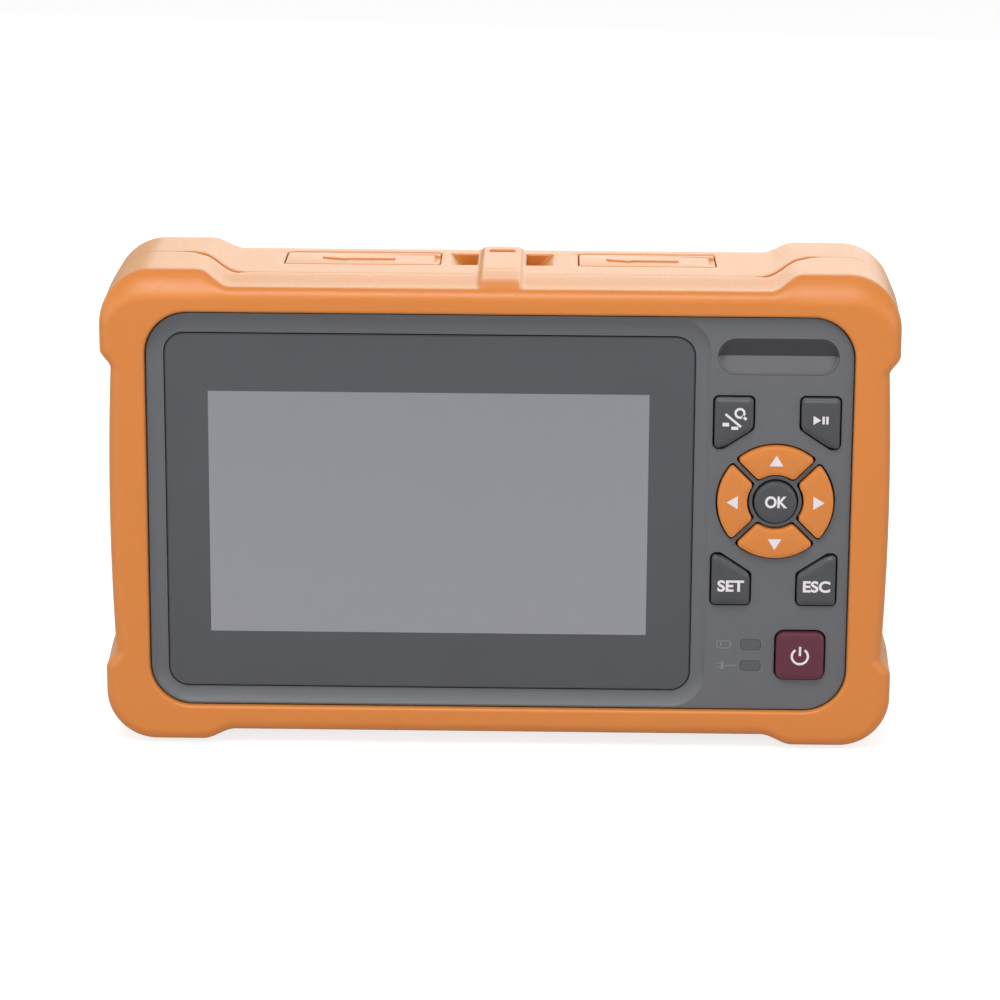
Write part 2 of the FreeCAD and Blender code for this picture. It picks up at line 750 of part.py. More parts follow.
def display_window():
    """Clear window with rounded corners; it stands a little proud of the dish and has a bevelled edge."""
    front = dish_y - window_proud
    body = plate(window_x, window_z, window_w, window_h, window_r, front, dish_y + window_t)
    return body.makeChamfer(window_bevel, edges_at(body, front))


def window_adhesive():
    """Thin frame of tape behind the window."""
    tape = plate(window_x, window_z, window_w - 1, window_h - 1, window_r - 0.5, dish_y + window_t, ledge_y)
    return tape.cut(plate(display_x, display_z, bezel_w + 1, bezel_h + 1, 1.0, dish_y + window_t, ledge_y))


def lcd_panel():
    """Liquid crystal panel: metal frame with the glass set in its face."""
    frame = plate(display_x, display_z, panel_w, panel_h, 0.6, panel_y, panel_y + panel_t)
    glass = plate(display_x, display_z, active_w, active_h, 0.2, panel_y - 0.05, panel_y + 0.1)
    return frame.fuse(glass)


def lcd_bracket():
    """Frame behind the panel with an ear at each screw."""
    y0, y1 = panel_y + panel_t, panel_y + panel_t + bracket_t
    w, h = panel_w + 2 * bracket_rim, panel_h + 2 * bracket_rim
    solids = [plate(display_x, display_z, w, h, 2.0, y0, y1)]
    for x, z in bracket_holes():
        solids.append(rod(x, z, bracket_ear_r, y0, y1))
        edge = display_z + (1 if z > display_z else -1) * h / 2
        solids.append(plate(x, edge, 2 * bracket_ear_r, 5.0, 0.5, y0, y1))
    body = joined(solids).cut(plate(display_x, display_z, bracket_hole_w, bracket_hole_h, 3.0, y0, y1))
    return body.cut(joined([rod(x, z, screw_r, y0, y1) for x, z in bracket_holes()]))


def badge_insert():
    """Bare pill-shaped badge with a crease along its middle: upper half faces down, lower half up."""
    x, z = badge_place()
    front = face_y + 0.15
    body = plate(x, z, badge_w - 0.1, badge_h - 0.1, badge_h / 2 - 0.06, front, face_y + badge_t)
    half = badge_h / 2 - 0.35
    reach = badge_w / 2 + 1
    corners = [V(x - reach, front, z - half), V(x - reach, front, z + half),
               V(x - reach, front + badge_dip, z)]
    wedge = Part.Face(Part.makePolygon(corners + corners[:1])).extrude(V(2 * reach, 0, 0))
    dish = plate(x, z, badge_w - 1.0, badge_h - 1.0, badge_h / 2 - 0.52, front, front + badge_dip + 0.1)
    return body.cut(wedge.common(dish))


def lamp_window(index):
    """Light pipe of one indicator: its front end is flush with the face."""
    x, z = light_places()[index]
    pipe = plate(x, z, light_w, light_h, light_r - 0.05, face_y + 0.1, flange_y)
    flange = plate(x, z, light_w + 1.4, light_h + 1.2, light_r, flange_y, flange_y + key_flange_t)
    leg = plate(x, z, light_w - 1.2, light_h - 0.8, 0.5, flange_y + key_flange_t, key_board_y - lamp_t)
    return joined([pipe, flange, leg])


def keypad_mat():
    """Silicone mat under the keys, standing on a foot round its edge, with a hole for each stem."""
    x0, x1, z0, z1 = key_board_box()
    x0, x1, z0, z1 = x0 + 0.4, x1 - 0.4, z0 + 0.4, z1 - 0.4
    cx, cz, w, h = (x0 + x1) / 2, (z0 + z1) / 2, x1 - x0, z1 - z0
    sheet = plate(cx, cz, w, h, 1.5, mat_y, key_board_y)
    sheet = sheet.cut(plate(cx, cz, w - 2.4, h - 2.4, 0.8, mat_y + mat_t, key_board_y))
    cuts = []
    for name in key_names:
        x, z = key_centre(name)
        cuts.append(rod(x, z, stem_w / 2 + stem_gap, mat_y, mat_y + mat_t))
    cuts += [plate(x, z, light_w, light_h, 0.5, mat_y, mat_y + mat_t) for x, z in light_places()]
    cuts += [rod(x, z, 2.5, mat_y, key_board_y) for x, z in key_board_holes()]
    return sheet.cut(joined(cuts))


def key_board():
    """Circuit board under the keys."""
    x0, x1, z0, z1 = key_board_box()
    board = plate((x0 + x1) / 2, (z0 + z1) / 2, x1 - x0, z1 - z0, 1.5, key_board_y, key_board_y + key_board_t)
    holes = [rod(x, z, screw_r, key_board_y, key_board_y + key_board_t) for x, z in key_board_holes()]
    return board.cut(joined(holes))


def key_domes():
    """Snap dome of each key, on the board."""
    domes = []
    for name in key_names:
        x, z = key_centre(name)
        domes.append(Part.makeCone(dome_r * 0.5, dome_r, dome_t, V(x, key_board_y - dome_t, z), V(0, 1, 0)))
    return Part.makeCompound(domes)


def indicator_lamps():
    """Two small lamps on the keypad board under the light pipes."""
    return Part.makeCompound([plate(x, z, lamp_w, lamp_h, 0.1, key_board_y - lamp_t, key_board_y)
                              for x, z in light_places()])


# ---------------------------------------------------------------- back half of the case
def stand_path(grow, y0, y1):
    """Solid of the U-shaped stand between two depths: two legs and a crossbar."""
    outer_x = stand_leg_in + stand_leg_w + grow
    inner_x = stand_leg_in - grow
    low = foot_z - grow
    inner_low = foot_z + stand_bar_h + grow
    outer = [(-outer_x, low), (outer_x, low), (outer_x, stand_z), (-outer_x, stand_z)]
    inner = [(-inner_x, inner_low), (inner_x, inner_low), (inner_x, stand_z), (-inner_x, stand_z)]
    inner_corner = max(stand_inner_r - grow, 0.5)
    big = slab(outer, [stand_r + grow, stand_r + grow, 0, 0], y0, y1)
    return big.cut(slab(inner, [inner_corner, inner_corner, 0, 0], y0, y1))


def leg_bars(r, length):
    """Round bar along the hinge axis at the top of each leg."""
    return [Part.makeCylinder(r, length, V(sx * stand_leg_x - length / 2, stand_y, stand_z), V(1, 0, 0))
            for sx in (-1, 1)]


def kickstand():
    """Fold-out stand that lies flush in the back."""
    half = stand_t / 2
    body = joined([stand_path(0, stand_y - half, stand_y + half)] + leg_bars(half, stand_leg_w))
    body = body.makeFillet(stand_round, edges_at(body, stand_y + half))
    relief = plate(0, foot_z + stand_bar_h / 2, 2 * (stand_leg_in - stand_relief_in), stand_relief_h, 1.5,
                   stand_y - half, stand_y - half + stand_relief_t)
    grip = grip_grooves(foot_z + stand_bar_h / 2, stand_grip_w, 3, stand_y + half)
    return body.cut(joined([relief] + grip + leg_bars(pin_r + pin_fit, stand_leg_w + 1)))


def stand_pins():
    """Steel pin through the top of each leg, gripped by the case on both sides."""
    return Part.makeCompound(leg_bars(pin_r, stand_leg_w + 2 * stand_gap + 2 * pin_grip))


def strap_tunnel(grow, z_high):
    """Passage for a wrist strap under the bridge, open upwards at both ends."""
    half = bridge_w / 2 + strap_mouth_step + strap_mouth_low + grow
    low = body_top - strap_bar_t - strap_h - grow
    return block(bridge_x - half, bridge_x + half, strap_y0 - grow, strap_y1 + grow, low, z_high)


def strap_bar():
    """Plastic bar over the passage, under the rubber bridge."""
    half = bridge_w / 2 + strap_mouth_step
    return block(bridge_x - half, bridge_x + half, strap_y0, strap_y1, body_top - strap_bar_t, body_top)


def bay(span, grow, z_low, z_high):
    """Port bay under a cover."""
    x0, x1 = span
    edge = cover_ledge - grow
    return block(x0 + edge, x1 - edge, cover_y0 + edge, cover_y1 - edge, z_low, z_high)


def port_places():
    """x of the two optical ports."""
    first = left_cover[0] + port_first
    return [first, first + port_pitch]


def socket_places():
    """(x, width, height, corner radius) of the two electrical sockets."""
    centre = (right_cover[0] + right_cover[1]) / 2
    return [(centre + host_dx, host_w, host_h, 0.5), (centre + charge_dx, charge_w, charge_h, 1.4)]


def door_screw_places():
    """(x, z) of the two battery door screws."""
    return [(sx * door_screw_dx, battery_z + battery_h / 2 + door_screw_up) for sx in (-1, 1)]


def rear_housing_walls():
    """Solid forms inside the back half: walls of the pockets and bays, bosses of pins and screws."""
    y_end = inner_back_y + rib_overlap
    z_end = body_top - case_wall + rib_overlap
    y0 = pocket_y - pocket_wall
    walls = [stand_path(stand_gap + pocket_wall, y0, y_end)]
    half = stand_leg_w / 2 + stand_gap + pin_grip + 1.0
    walls += [block(sx * stand_leg_x - half, sx * stand_leg_x + half, y0, y_end, stand_z - stand_boss_low,
                    stand_z + stand_boss_high) for sx in (-1, 1)]
    walls.append(plate(0, battery_z, battery_w + 2 * pocket_wall, battery_h + 2 * pocket_wall, 2.0,
                       battery_floor_y - pocket_wall, y_end))
    walls += [rod(x, z, door_boss_r, door_y - door_screw_l - 1.0, y_end) for x, z in door_screw_places()]
    walls += [rod(x, z, case_boss_r, split_y, y_end) for x, z in case_screw_holes()]
    walls.append(strap_tunnel(bay_wall, z_end))
    walls.append(bay(left_cover, bay_wall, port_floor_z - bay_wall, z_end))
    walls.append(bay(right_cover, bay_wall, socket_z - bay_floor_t, z_end))
    limit = plate(0, mid_z, inner_w + case_wall, inner_h + case_wall, inner_r + case_wall / 2, split_y, y_end)
    return [wall.common(limit) for wall in walls]


def rear_housing_cuts():
    """Everything that is cut from the back half."""
    cuts = [strap_tunnel(0, body_top).cut(strap_bar()), bay(left_cover, 0, port_floor_z, body_top),
            bay(right_cover, 0, socket_z, body_top), stand_path(stand_gap, pocket_y, back_face_y)]
    slot_w = stand_leg_w + 2 * stand_gap
    cuts += leg_bars(stand_t / 2 + stand_gap, slot_w)
    cuts += leg_bars(pin_r, slot_w + 2 * pin_grip)
    cuts += [block(sx * stand_leg_x - slot_w / 2, sx * stand_leg_x + slot_w / 2, stand_y, back_face_y,
                   stand_z, stand_z + stand_t / 2 + stand_gap) for sx in (-1, 1)]
    cuts.append(plate(0, battery_z, battery_w, battery_h, 1.0, battery_floor_y, back_face_y))
    cuts.append(plate(0, door_z, door_w, door_h, door_r, door_y, back_face_y))
    cuts.append(plate(0, foot_z + stand_bar_h + stand_gap + nail_up, nail_w, nail_h, 1.5,
                      back_face_y - nail_depth, back_face_y))
    cuts += [rod(x, z, screw_r, door_y - door_screw_l, door_y) for x, z in door_screw_places()]
    for x, z in case_screw_holes():
        cuts.append(rod(x, z, screw_r + screw_fit, split_y, rim_back_y))
        cuts.append(rod(x, z, screw_head_r + 0.6, rim_back_y - 3.0, rim_back_y))
    cuts += [post(x, port_y, tail_r + 0.1, port_floor_z - bay_wall, port_floor_z) for x in port_places()]
    for x, w, h, r in socket_places():
        half_w, half_h = w / 2 + socket_hole_fit, h / 2 + socket_hole_fit
        cuts.append(upright(x - half_w, x + half_w, port_y - half_h, port_y + half_h, r,
                            socket_z - bay_floor_t, socket_z))
    reach = tab_w / 2 + tab_fit
    low = door_z - door_h / 2
    cuts += [block(sx * tab_dx - reach, sx * tab_dx + reach, door_y + tab_in - tab_fit,
                   back_face_y - tab_skin + tab_fit, low - tab_l - tab_fit, low) for sx in (-1, 1)]
    return cuts


def rear_housing():
    """Back half of the case: port bays, strap passage, battery pocket, stand pocket."""
    shell = plate(0, mid_z, body_w, body_h, case_r, split_y, rim_back_y)
    face = plate(0, opening_z, opening_w - 2 * face_gap, opening_h - 2 * face_gap, opening_r - face_gap,
                 rim_back_y, back_face_y)
    body = shell.fuse(face).cut(plate(0, mid_z, inner_w, inner_h, inner_r, split_y, inner_back_y))
    body = joined([body] + rear_housing_walls())
    return body.cut(joined(rear_housing_cuts())).cut(gasket_ring())


def grip_grooves(z, length, count, y):
    """Level grooves one above another round height z, cut forwards from depth y."""
    return [plate(0, z + (k - (count - 1) / 2) * groove_pitch, length, groove_w, groove_w / 2 - 0.05,
                  y - groove_t, y) for k in range(count)]


def battery_door():
    """Door over the battery: tabs below, screw holes above, a rib inside, a grip and a plate seat outside."""
    lid = plate(0, door_z, door_w - 2 * door_gap, door_h - 2 * door_gap, door_r - door_gap, door_y,
                back_face_y)
    lid = lid.makeFillet(0.4, edges_at(lid, back_face_y))
    low = door_z - door_h / 2
    tabs = [block(sx * tab_dx - tab_w / 2, sx * tab_dx + tab_w / 2, door_y + tab_in, back_face_y - tab_skin,
                  low - tab_l, low + 2) for sx in (-1, 1)]
    rib_w, rib_h = battery_w - 4 * door_gap, battery_h - 4 * door_gap
    y0 = door_y - door_rib_h
    rib = plate(0, battery_z, rib_w, rib_h, 1.0, y0, door_y)
    rib = rib.cut(plate(0, battery_z, rib_w - 2 * door_rib_t, rib_h - 2 * door_rib_t, 1.0, y0, door_y))
    seat_z = low + plate_seat_up + plate_seat_h / 2
    holes = grip_grooves(door_z + door_h / 2 - door_grip_in, door_grip_w, 4, back_face_y)
    holes.append(plate(0, seat_z, plate_seat_w, plate_seat_h, 1.5, back_face_y - plate_seat_t, back_face_y))
    for x, z in door_screw_places():
        holes.append(rod(x, z, screw_r + screw_fit, door_y, back_face_y))
        holes.append(rod(x, z, screw_head_r + screw_fit, back_face_y - screw_head_t - 0.1, back_face_y))
    return joined([lid, rib] + tabs).cut(joined(holes))


def door_screws():
    """Screws of the battery door."""
    return Part.makeCompound([screw(x, z, back_face_y - 0.1, door_y - door_screw_l + screw_end_gap)
                              for x, z in door_screw_places()])


def case_screws():
    """Screws through the back half into the front half, under the boot's back lip."""
    tip = split_y - case_boss_l + 1.0 + screw_end_gap
    return Part.makeCompound([screw(x, z, rim_back_y - 1.2, tip, head_t=case_head_t)
                              for x, z in case_screw_holes()])


def battery_pack():
    """Two cells side by side in a shrink sleeve."""
    pitch = 2 * cell_r
    y = battery_floor_y + cell_r + 0.1
    cells = [Part.makeCylinder(cell_r, cell_l, V(-cell_l / 2, y, battery_z + s * pitch / 2), V(1, 0, 0))
             for s in (-1, 1)]
    web = block(-cell_l / 2, cell_l / 2, y - cell_r, y + cell_r, battery_z - pitch / 2, battery_z + pitch / 2)
    return joined(cells + [web])


def battery_contacts():
    """Sprung contact strips at one end of the battery pocket."""
    x0, x1 = cell_l / 2 + 0.1, battery_w / 2
    y0 = battery_floor_y + contact_y
    return Part.makeCompound([block(x0, x1, y0, y0 + contact_w, battery_z + s * contact_pitch - contact_w / 2,
                                    battery_z + s * contact_pitch + contact_w / 2) for s in (-1, 0, 1)])


# ---------------------------------------------------------------- covers
def arrow_points(x, y):
    """Plan of a block arrow that points to -X, centred on (x, y)."""
    tip, neck, end = x - arrow_l / 2, x - arrow_l / 2 + arrow_head_l, x + arrow_l / 2
    head, shaft = arrow_head_w / 2, arrow_shaft_w / 2
    return [V(tip, y, 0), V(neck, y - head, 0), V(neck, y - shaft, 0), V(end, y - shaft, 0),
            V(end, y + shaft, 0), V(neck, y + shaft, 0), V(neck, y + head, 0)]


def port_cover(span):
    """Rubber cover hinged at its left end: plate, hollow plug, raised arrow, finger notch."""
    x0, x1 = span[0] + cover_gap, span[1] - cover_gap
    y0, y1 = cover_y0 + cover_gap, cover_y1 - cover_gap
    low = boot_top - cover_t
    lid = upright(x0, x1, y0, y1, cover_r - cover_gap, low, boot_top)
    edge = cover_ledge - cover_gap + plug_gap
    plug = upright(x0 + edge, x1 - edge, y0 + edge, y1 - edge, 0.6, low - plug_depth, low)
    wall = edge + plug_wall
    plug = plug.cut(upright(x0 + wall, x1 - wall, y0 + wall, y1 - wall, 0.4, low - plug_depth, low))
    points = arrow_points((x0 + x1) / 2 - arrow_shift, port_y)
    arrow = Part.Face(Part.makePolygon(points + points[:1])).extrude(V(0, 0, arrow_t))
    arrow.translate(V(0, 0, boot_top))
    scoop = Part.makeCylinder(scoop_r, scoop_w, V(x1 + 0.6, port_y - scoop_w / 2, boot_top + 0.5), V(0, 1, 0))
    return joined([lid, plug, arrow]).cut(scoop)


# ---------------------------------------------------------------- optics, boards, sockets
def optical_port(x):
    """Ferrule connector port: flange, keyed barrel, and the sleeve that takes the ferrule."""
    z0 = port_floor_z
    top = z0 + port_flange_t + barrel_h
    body = post(x, port_y, port_flange_r, z0, z0 + port_flange_t).fuse(post(x, port_y, barrel_r, z0, top))
    body = body.cut(post(x, port_y, barrel_bore_r, top - sleeve_h, top))
    body = body.cut(block(x - keyway_w / 2, x + keyway_w / 2, port_y - barrel_r - 1, port_y,
                          top - keyway_h, top))
    sleeve = post(x, port_y, post_r, top - sleeve_h, top - sleeve_drop)
    tail = post(x, port_y, tail_r, z0 - bay_wall - module_z_gap + 0.05, z0)
    return joined([body, sleeve, tail]).cut(post(x, port_y, ferrule_r + ferrule_fit, top - sleeve_h, top))


def electrical_socket(x, w, h, r, tongue_t):
    """Socket facing up: folded metal shell round a plastic tongue."""
    low = socket_z - socket_l
    floor = low + socket_floor_t
    y0, y1 = port_y - h / 2, port_y + h / 2
    shell = upright(x - w / 2, x + w / 2, y0, y1, r, low, socket_z)
    shell = shell.cut(upright(x - w / 2 + socket_t, x + w / 2 - socket_t, y0 + socket_t, y1 - socket_t,
                              max(r - socket_t, 0.2), floor, socket_z))
    tongue = block(x - w / 2 + tongue_in, x + w / 2 - tongue_in, port_y - tongue_t / 2, port_y + tongue_t / 2,
                   floor, socket_z - tongue_drop)
    return joined([shell, tongue])


def port_board():
    """Small board behind the electrical sockets, with a foot under each."""
    top = socket_z - port_board_drop
    y0 = port_y + port_board_y
    x0, x1 = right_cover[0] + 0.5, right_cover[1] + 2.0
    board = plate((x0 + x1) / 2, top - port_board_h / 2, x1 - x0, port_board_h, 1.0, y0, y0 + board_t)
    feet = [block(x - w / 2 + 1.0, x + w / 2 - 1.0, y0 + board_t, port_y - h / 2, top - 10.0, top - 3.0)
            for x, w, h, r in socket_places()]
    return joined([board] + feet)


def main_board():
    """Main circuit board."""
    board = plate(main_board_x, mid_z, main_board_w, main_board_h, 2.0, main_board_y, board_back_y)
    holes = [rod(x, z, screw_r + screw_fit, main_board_y, board_back_y) for x, z in main_board_holes()]
    return board.cut(joined(holes))


def main_board_parts():
    """Shield can and inductors on the back of the main board, processor and memory on its front."""
    back, front = board_back_y, main_board_y
    x, z = main_board_x, mid_z
    return Part.makeCompound([plate(x + 28, z + 18, 30, 24, 1.0, back, back + 3.0),
                              plate(x + 26, z - 8, 15, 15, 0.4, front - 1.4, front),
                              plate(x + 6, z - 6, 9, 12, 0.3, front - 1.1, front),
                              plate(x - 18, z - 32, 8, 8, 1.0, back, back + 3.5),
                              plate(x - 32, z - 32, 8, 8, 1.0, back, back + 3.5)])


def module_box():
    """Left, right, front, back, low and high side of the optical module."""
    high = port_floor_z - bay_wall - module_z_gap
    y0 = port_y + module_y
    return module_x - module_l / 2, module_x + module_l / 2, y0, y0 + module_t, high - module_h, high


def optical_module():
    """Metal can that holds the laser and the receiver, with a shallow lid on its back."""
    x0, x1, y0, y1, z0, z1 = module_box()
    can = block(x0, x1, y0, y1, z0, z1)
    can = can.makeFillet(module_round, edges_at(can, y1))
    return can.fuse(block(x0 + module_lid_in, x1 - module_lid_in, y1, y1 + module_lid_t, z0 + 3, z1 - 3))


def module_standoffs():
    """Pillars that carry the optical module off the main board."""
    x0, x1, y0, _, z0, z1 = module_box()
    return Part.makeCompound([rod(x, z, standoff_r, board_back_y, y0)
                              for x in (x0 + standoff_in_x, x1 - standoff_in_x)
                              for z in (z0 + standoff_in_z, z1 - standoff_in_z)])


def fibre_spool():
    """Spool that holds the launch fibre: two rims, a hub and spokes."""
    x, z = spool_x, spool_z
    y0 = board_back_y + spool_lift
    y1 = y0 + spool_t
    body = joined([rod(x, z, spool_r, y0, y0 + spool_rim_t), rod(x, z, spool_hub_r, y0, y1),
                   rod(x, z, spool_r, y1 - spool_rim_t, y1)])
    body = body.cut(rod(x, z, spool_hub_r - spool_wall, y0, y1))
    span = 2 * spool_hub_r - 2
    spokes = [plate(x, z, span, spool_spoke_w, 0.5, y0, y0 + spool_rim_t),
              plate(x, z, spool_spoke_w, span, 0.5, y0, y0 + spool_rim_t)]
    return joined([body] + spokes)


def fibre_winding():
    """Fibre wound on the spool."""
    y0 = board_back_y + spool_lift + spool_rim_t
    y1 = y0 + spool_t - 2 * spool_rim_t
    coil = rod(spool_x, spool_z, spool_r - winding_drop, y0, y1)
    return coil.cut(rod(spool_x, spool_z, spool_hub_r, y0, y1))


def spool_posts():
    """Four short posts between the main board and the spool."""
    reach = spool_hub_r - 0.8
    return Part.makeCompound([rod(spool_x + reach * math.cos(a), spool_z + reach * math.sin(a), spool_post_r,
                                  board_back_y, board_back_y + spool_lift)
                              for a in (math.pi / 4 * k for k in (1, 3, 5, 7))])


def buzzer():
    """Round sounder on the main board, with a small hole in its cap."""
    y = board_back_y
    x, z = main_board_x + buzzer_dx, mid_z + buzzer_dz
    return rod(x, z, buzzer_r, y, y + buzzer_t).cut(rod(x, z, 1.0, y + buzzer_t - 1.0, y + buzzer_t))


def board_screws():
    """Screws of the main board, the keypad board and the display bracket."""
    small = (small_screw_r, small_head_r, small_head_t)
    screws = [screw(x, z, board_back_y + screw_head_t, main_board_y - 5.0) for x, z in main_board_holes()]
    y = key_board_y + key_board_t + small_head_t
    screws += [screw(x, z, y, key_wall_y + 1.0, *small) for x, z in key_board_holes()]
    y = panel_y + panel_t + bracket_t + small_head_t
    screws += [screw(x, z, y, inner_front_y + 1.0, *small) for x, z in bracket_holes()]
    return Part.makeCompound(screws)


def lcd_flex_cable():
    """Flat cable from the lower edge of the panel to the main board."""
    y0 = panel_y + panel_t - 1.0
    low = display_z - panel_h / 2
    x0 = display_x + flex_dx - flex_w / 2
    down = block(x0, x0 + flex_w, y0, y0 + flex_t, low - flex_drop, low)
    across = block(x0, x0 + flex_w, y0, main_board_y, low - flex_drop - flex_t, low - flex_drop)
    return joined([down, across])


# ---------------------------------------------------------------- write the sub-parts
def build():
    """All sub-parts by name."""
    makers = (protective_boot, front_housing, rear_housing, display_window, window_adhesive, lcd_panel,
              lcd_bracket, lcd_flex_cable, badge_insert, keypad_mat, key_board, key_domes, indicator_lamps,
              main_board, main_board_parts, board_screws, buzzer, optical_module, module_standoffs,
              fibre_spool, fibre_winding, spool_posts, port_board, battery_pack, battery_contacts,
              battery_door, door_screws, case_screws, kickstand, stand_pins)
    parts = {maker.__name__: maker() for maker in makers}
    parts["case_gasket"] = gasket_ring()
    parts["upper_lamp_window"] = lamp_window(0)
    parts["lower_lamp_window"] = lamp_window(1)
    parts["left_port_cover"] = port_cover(left_cover)
    parts["right_port_cover"] = port_cover(right_cover)
    for name, x in zip(("trace_port", "laser_port"), port_places()):
        parts[name] = optical_port(x)
    for name, place, tongue_t in zip(("host_socket", "charge_socket"), socket_places(), tongue_thickness):
        parts[name] = electrical_socket(*place, tongue_t)
    for name in key_names:
        parts[name] = key(name)
    return parts


os.makedirs("parts", exist_ok=True)
for part_name, shape in build().items():
    shape.exportStep(os.path.join("parts", part_name + ".step"))
    print(part_name, len(shape.Solids), round(shape.Volume, 1), shape.isValid())
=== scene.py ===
"""Looks of a handheld optical time domain reflectometer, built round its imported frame.

The frame gives every rigid part at its real size.  This script gives them their finishes, and models what is
soft or finely shaped: the rubber boot, its two port covers, the key caps and the marks on them.
Lengths are in millimetres in the classes and become metres when a mesh is made.
"""
from __future__ import annotations

import logging
import math
from dataclasses import dataclass, replace
from enum import Enum

import bmesh
import bpy
import numpy as np
from mathutils import Matrix, Vector

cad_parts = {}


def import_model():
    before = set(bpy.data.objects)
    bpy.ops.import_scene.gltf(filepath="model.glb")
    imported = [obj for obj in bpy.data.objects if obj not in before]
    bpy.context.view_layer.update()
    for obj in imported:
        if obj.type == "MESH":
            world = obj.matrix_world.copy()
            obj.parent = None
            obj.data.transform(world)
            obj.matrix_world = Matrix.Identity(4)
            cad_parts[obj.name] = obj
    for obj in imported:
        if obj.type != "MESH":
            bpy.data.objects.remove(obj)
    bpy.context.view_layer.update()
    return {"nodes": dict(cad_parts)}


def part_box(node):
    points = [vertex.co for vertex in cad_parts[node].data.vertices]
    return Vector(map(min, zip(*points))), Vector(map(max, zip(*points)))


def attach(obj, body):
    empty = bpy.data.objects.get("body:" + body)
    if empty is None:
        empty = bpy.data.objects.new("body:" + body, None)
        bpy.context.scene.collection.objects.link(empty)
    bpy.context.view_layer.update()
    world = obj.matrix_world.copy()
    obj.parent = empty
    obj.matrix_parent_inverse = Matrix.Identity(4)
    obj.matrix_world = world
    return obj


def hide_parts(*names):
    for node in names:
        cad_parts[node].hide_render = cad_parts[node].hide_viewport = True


LOG = logging.getLogger("tester")
MM = 0.001
QUARTER = math.pi / 2
MERGE = 0.002 * MM            # points nearer than this become one
SLIVER = 0.0005 * MM          # edges shorter than this are dissolved
Span = tuple[float, float]


# ------------------------------------------------------------------ small helpers
def linear(colour: str) -> tuple[float, float, float, float]:
    """Turn an sRGB hex colour into linear RGBA.

    Args:
        colour: six hex digits, with or without a leading #.

    Returns:
        Red, green and blue from 0 to 1 in linear light, and an alpha of 1.
    """
    digits = colour.lstrip("#")
    values = np.array([int(digits[i:i + 2], 16) / 255 for i in (0, 2, 4)])
    light = np.where(values <= 0.04045, values / 12.92, ((values + 0.055) / 1.055) ** 2.4)
    return (float(light[0]), float(light[1]), float(light[2]), 1.0)


def add_node(tree: bpy.types.NodeTree, kind: str, inputs: dict | None = None,
             **settings: str) -> bpy.types.Node:
    """Add one node to a tree.

    Args:
        tree: the node tree.
        kind: the node's type name, without the ShaderNode that all of them start with.
        inputs: values or sockets for its inputs, by name or index; a socket is linked.
        settings: properties of the node, by name.

    Returns:
        The new node.
    """
    node = tree.nodes.new("ShaderNode" + kind)
    for name, value in settings.items():
        setattr(node, name, value)
    for name, value in (inputs or {}).items():
        if isinstance(value, bpy.types.NodeSocket):
            tree.links.new(value, node.inputs[name])
        else:
            node.inputs[name].default_value = value
    return node


def bare_tree(block: bpy.types.Material | bpy.types.World) -> bpy.types.NodeTree:
    """Switch a new material or world to nodes.

    Args:
        block: the material or world.

    Returns:
        Its node tree, emptied.
    """
    block.use_nodes = True
    block.node_tree.nodes.clear()
    return block.node_tree


def corners(node: str) -> tuple[np.ndarray, np.ndarray]:
    """Read a CAD node's place from the frame.

    Args:
        node: its name.

    Returns:
        Its lowest and its highest corner, in millimetres.
    """
    low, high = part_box(node)
    return np.array(low) / MM, np.array(high) / MM


def middle(node: str) -> Span:
    """Find the middle of a CAD node as seen from the front.

    Args:
        node: its name.

    Returns:
        Its middle across and upwards, in millimetres.
    """
    low, high = corners(node)
    return (low[0] + high[0]) / 2, (low[2] + high[2]) / 2


def smooth_step(value: np.ndarray) -> np.ndarray:
    """Ease from 0 to 1: 3t squared less 2t cubed, level at both ends.

    Args:
        value: t, which is cut to between 0 and 1.

    Returns:
        The eased values.
    """
    t = np.clip(value, 0.0, 1.0)
    return t * t * (3 - 2 * t)


def link(name: str, data: bpy.types.ID) -> bpy.types.Object:
    """Make an object of a mesh, lamp, camera or curve and link it to the scene.

    Args:
        name: name of the object.
        data: what it shows.

    Returns:
        The object.
    """
    obj = bpy.data.objects.new(name, data)
    bpy.context.scene.collection.objects.link(obj)
    return obj


def paint(obj: bpy.types.Object, material: bpy.types.Material) -> None:
    """Give a piece its one material.

    Args:
        obj: the piece.
        material: what it gets in place of any other.
    """
    obj.data.materials.clear()
    obj.data.materials.append(material)


def finish_mesh(obj: bpy.types.Object, sharp_degrees: float = 35.0) -> bpy.types.Object:
    """Merge doubles, turn faces outwards and shade smooth up to an angle.

    Args:
        obj: the piece to finish.
        sharp_degrees: edges that turn more than this stay sharp.

    Returns:
        The same piece.
    """
    work = bmesh.new()
    work.from_mesh(obj.data)
    bmesh.ops.remove_doubles(work, verts=work.verts, dist=MERGE)
    bmesh.ops.dissolve_degenerate(work, dist=SLIVER, edges=work.edges)
    bmesh.ops.recalc_face_normals(work, faces=work.faces)
    work.to_mesh(obj.data)
    work.free()
    obj.data.shade_smooth()
    obj.data.set_sharp_from_angle(angle=math.radians(sharp_degrees))
    return obj


def piece_from(name: str, points: np.ndarray, faces: list) -> bpy.types.Object:
    """Make a piece from points and faces.

    Args:
        name: name of the piece.
        points: array of shape (count, 3), in millimetres.
        faces: rows of point numbers.

    Returns:
        The new piece, linked to the scene.
    """
    mesh = bpy.data.meshes.new(name)
    mesh.from_pydata((points * MM).tolist(), [], faces)
    return link(name, mesh)


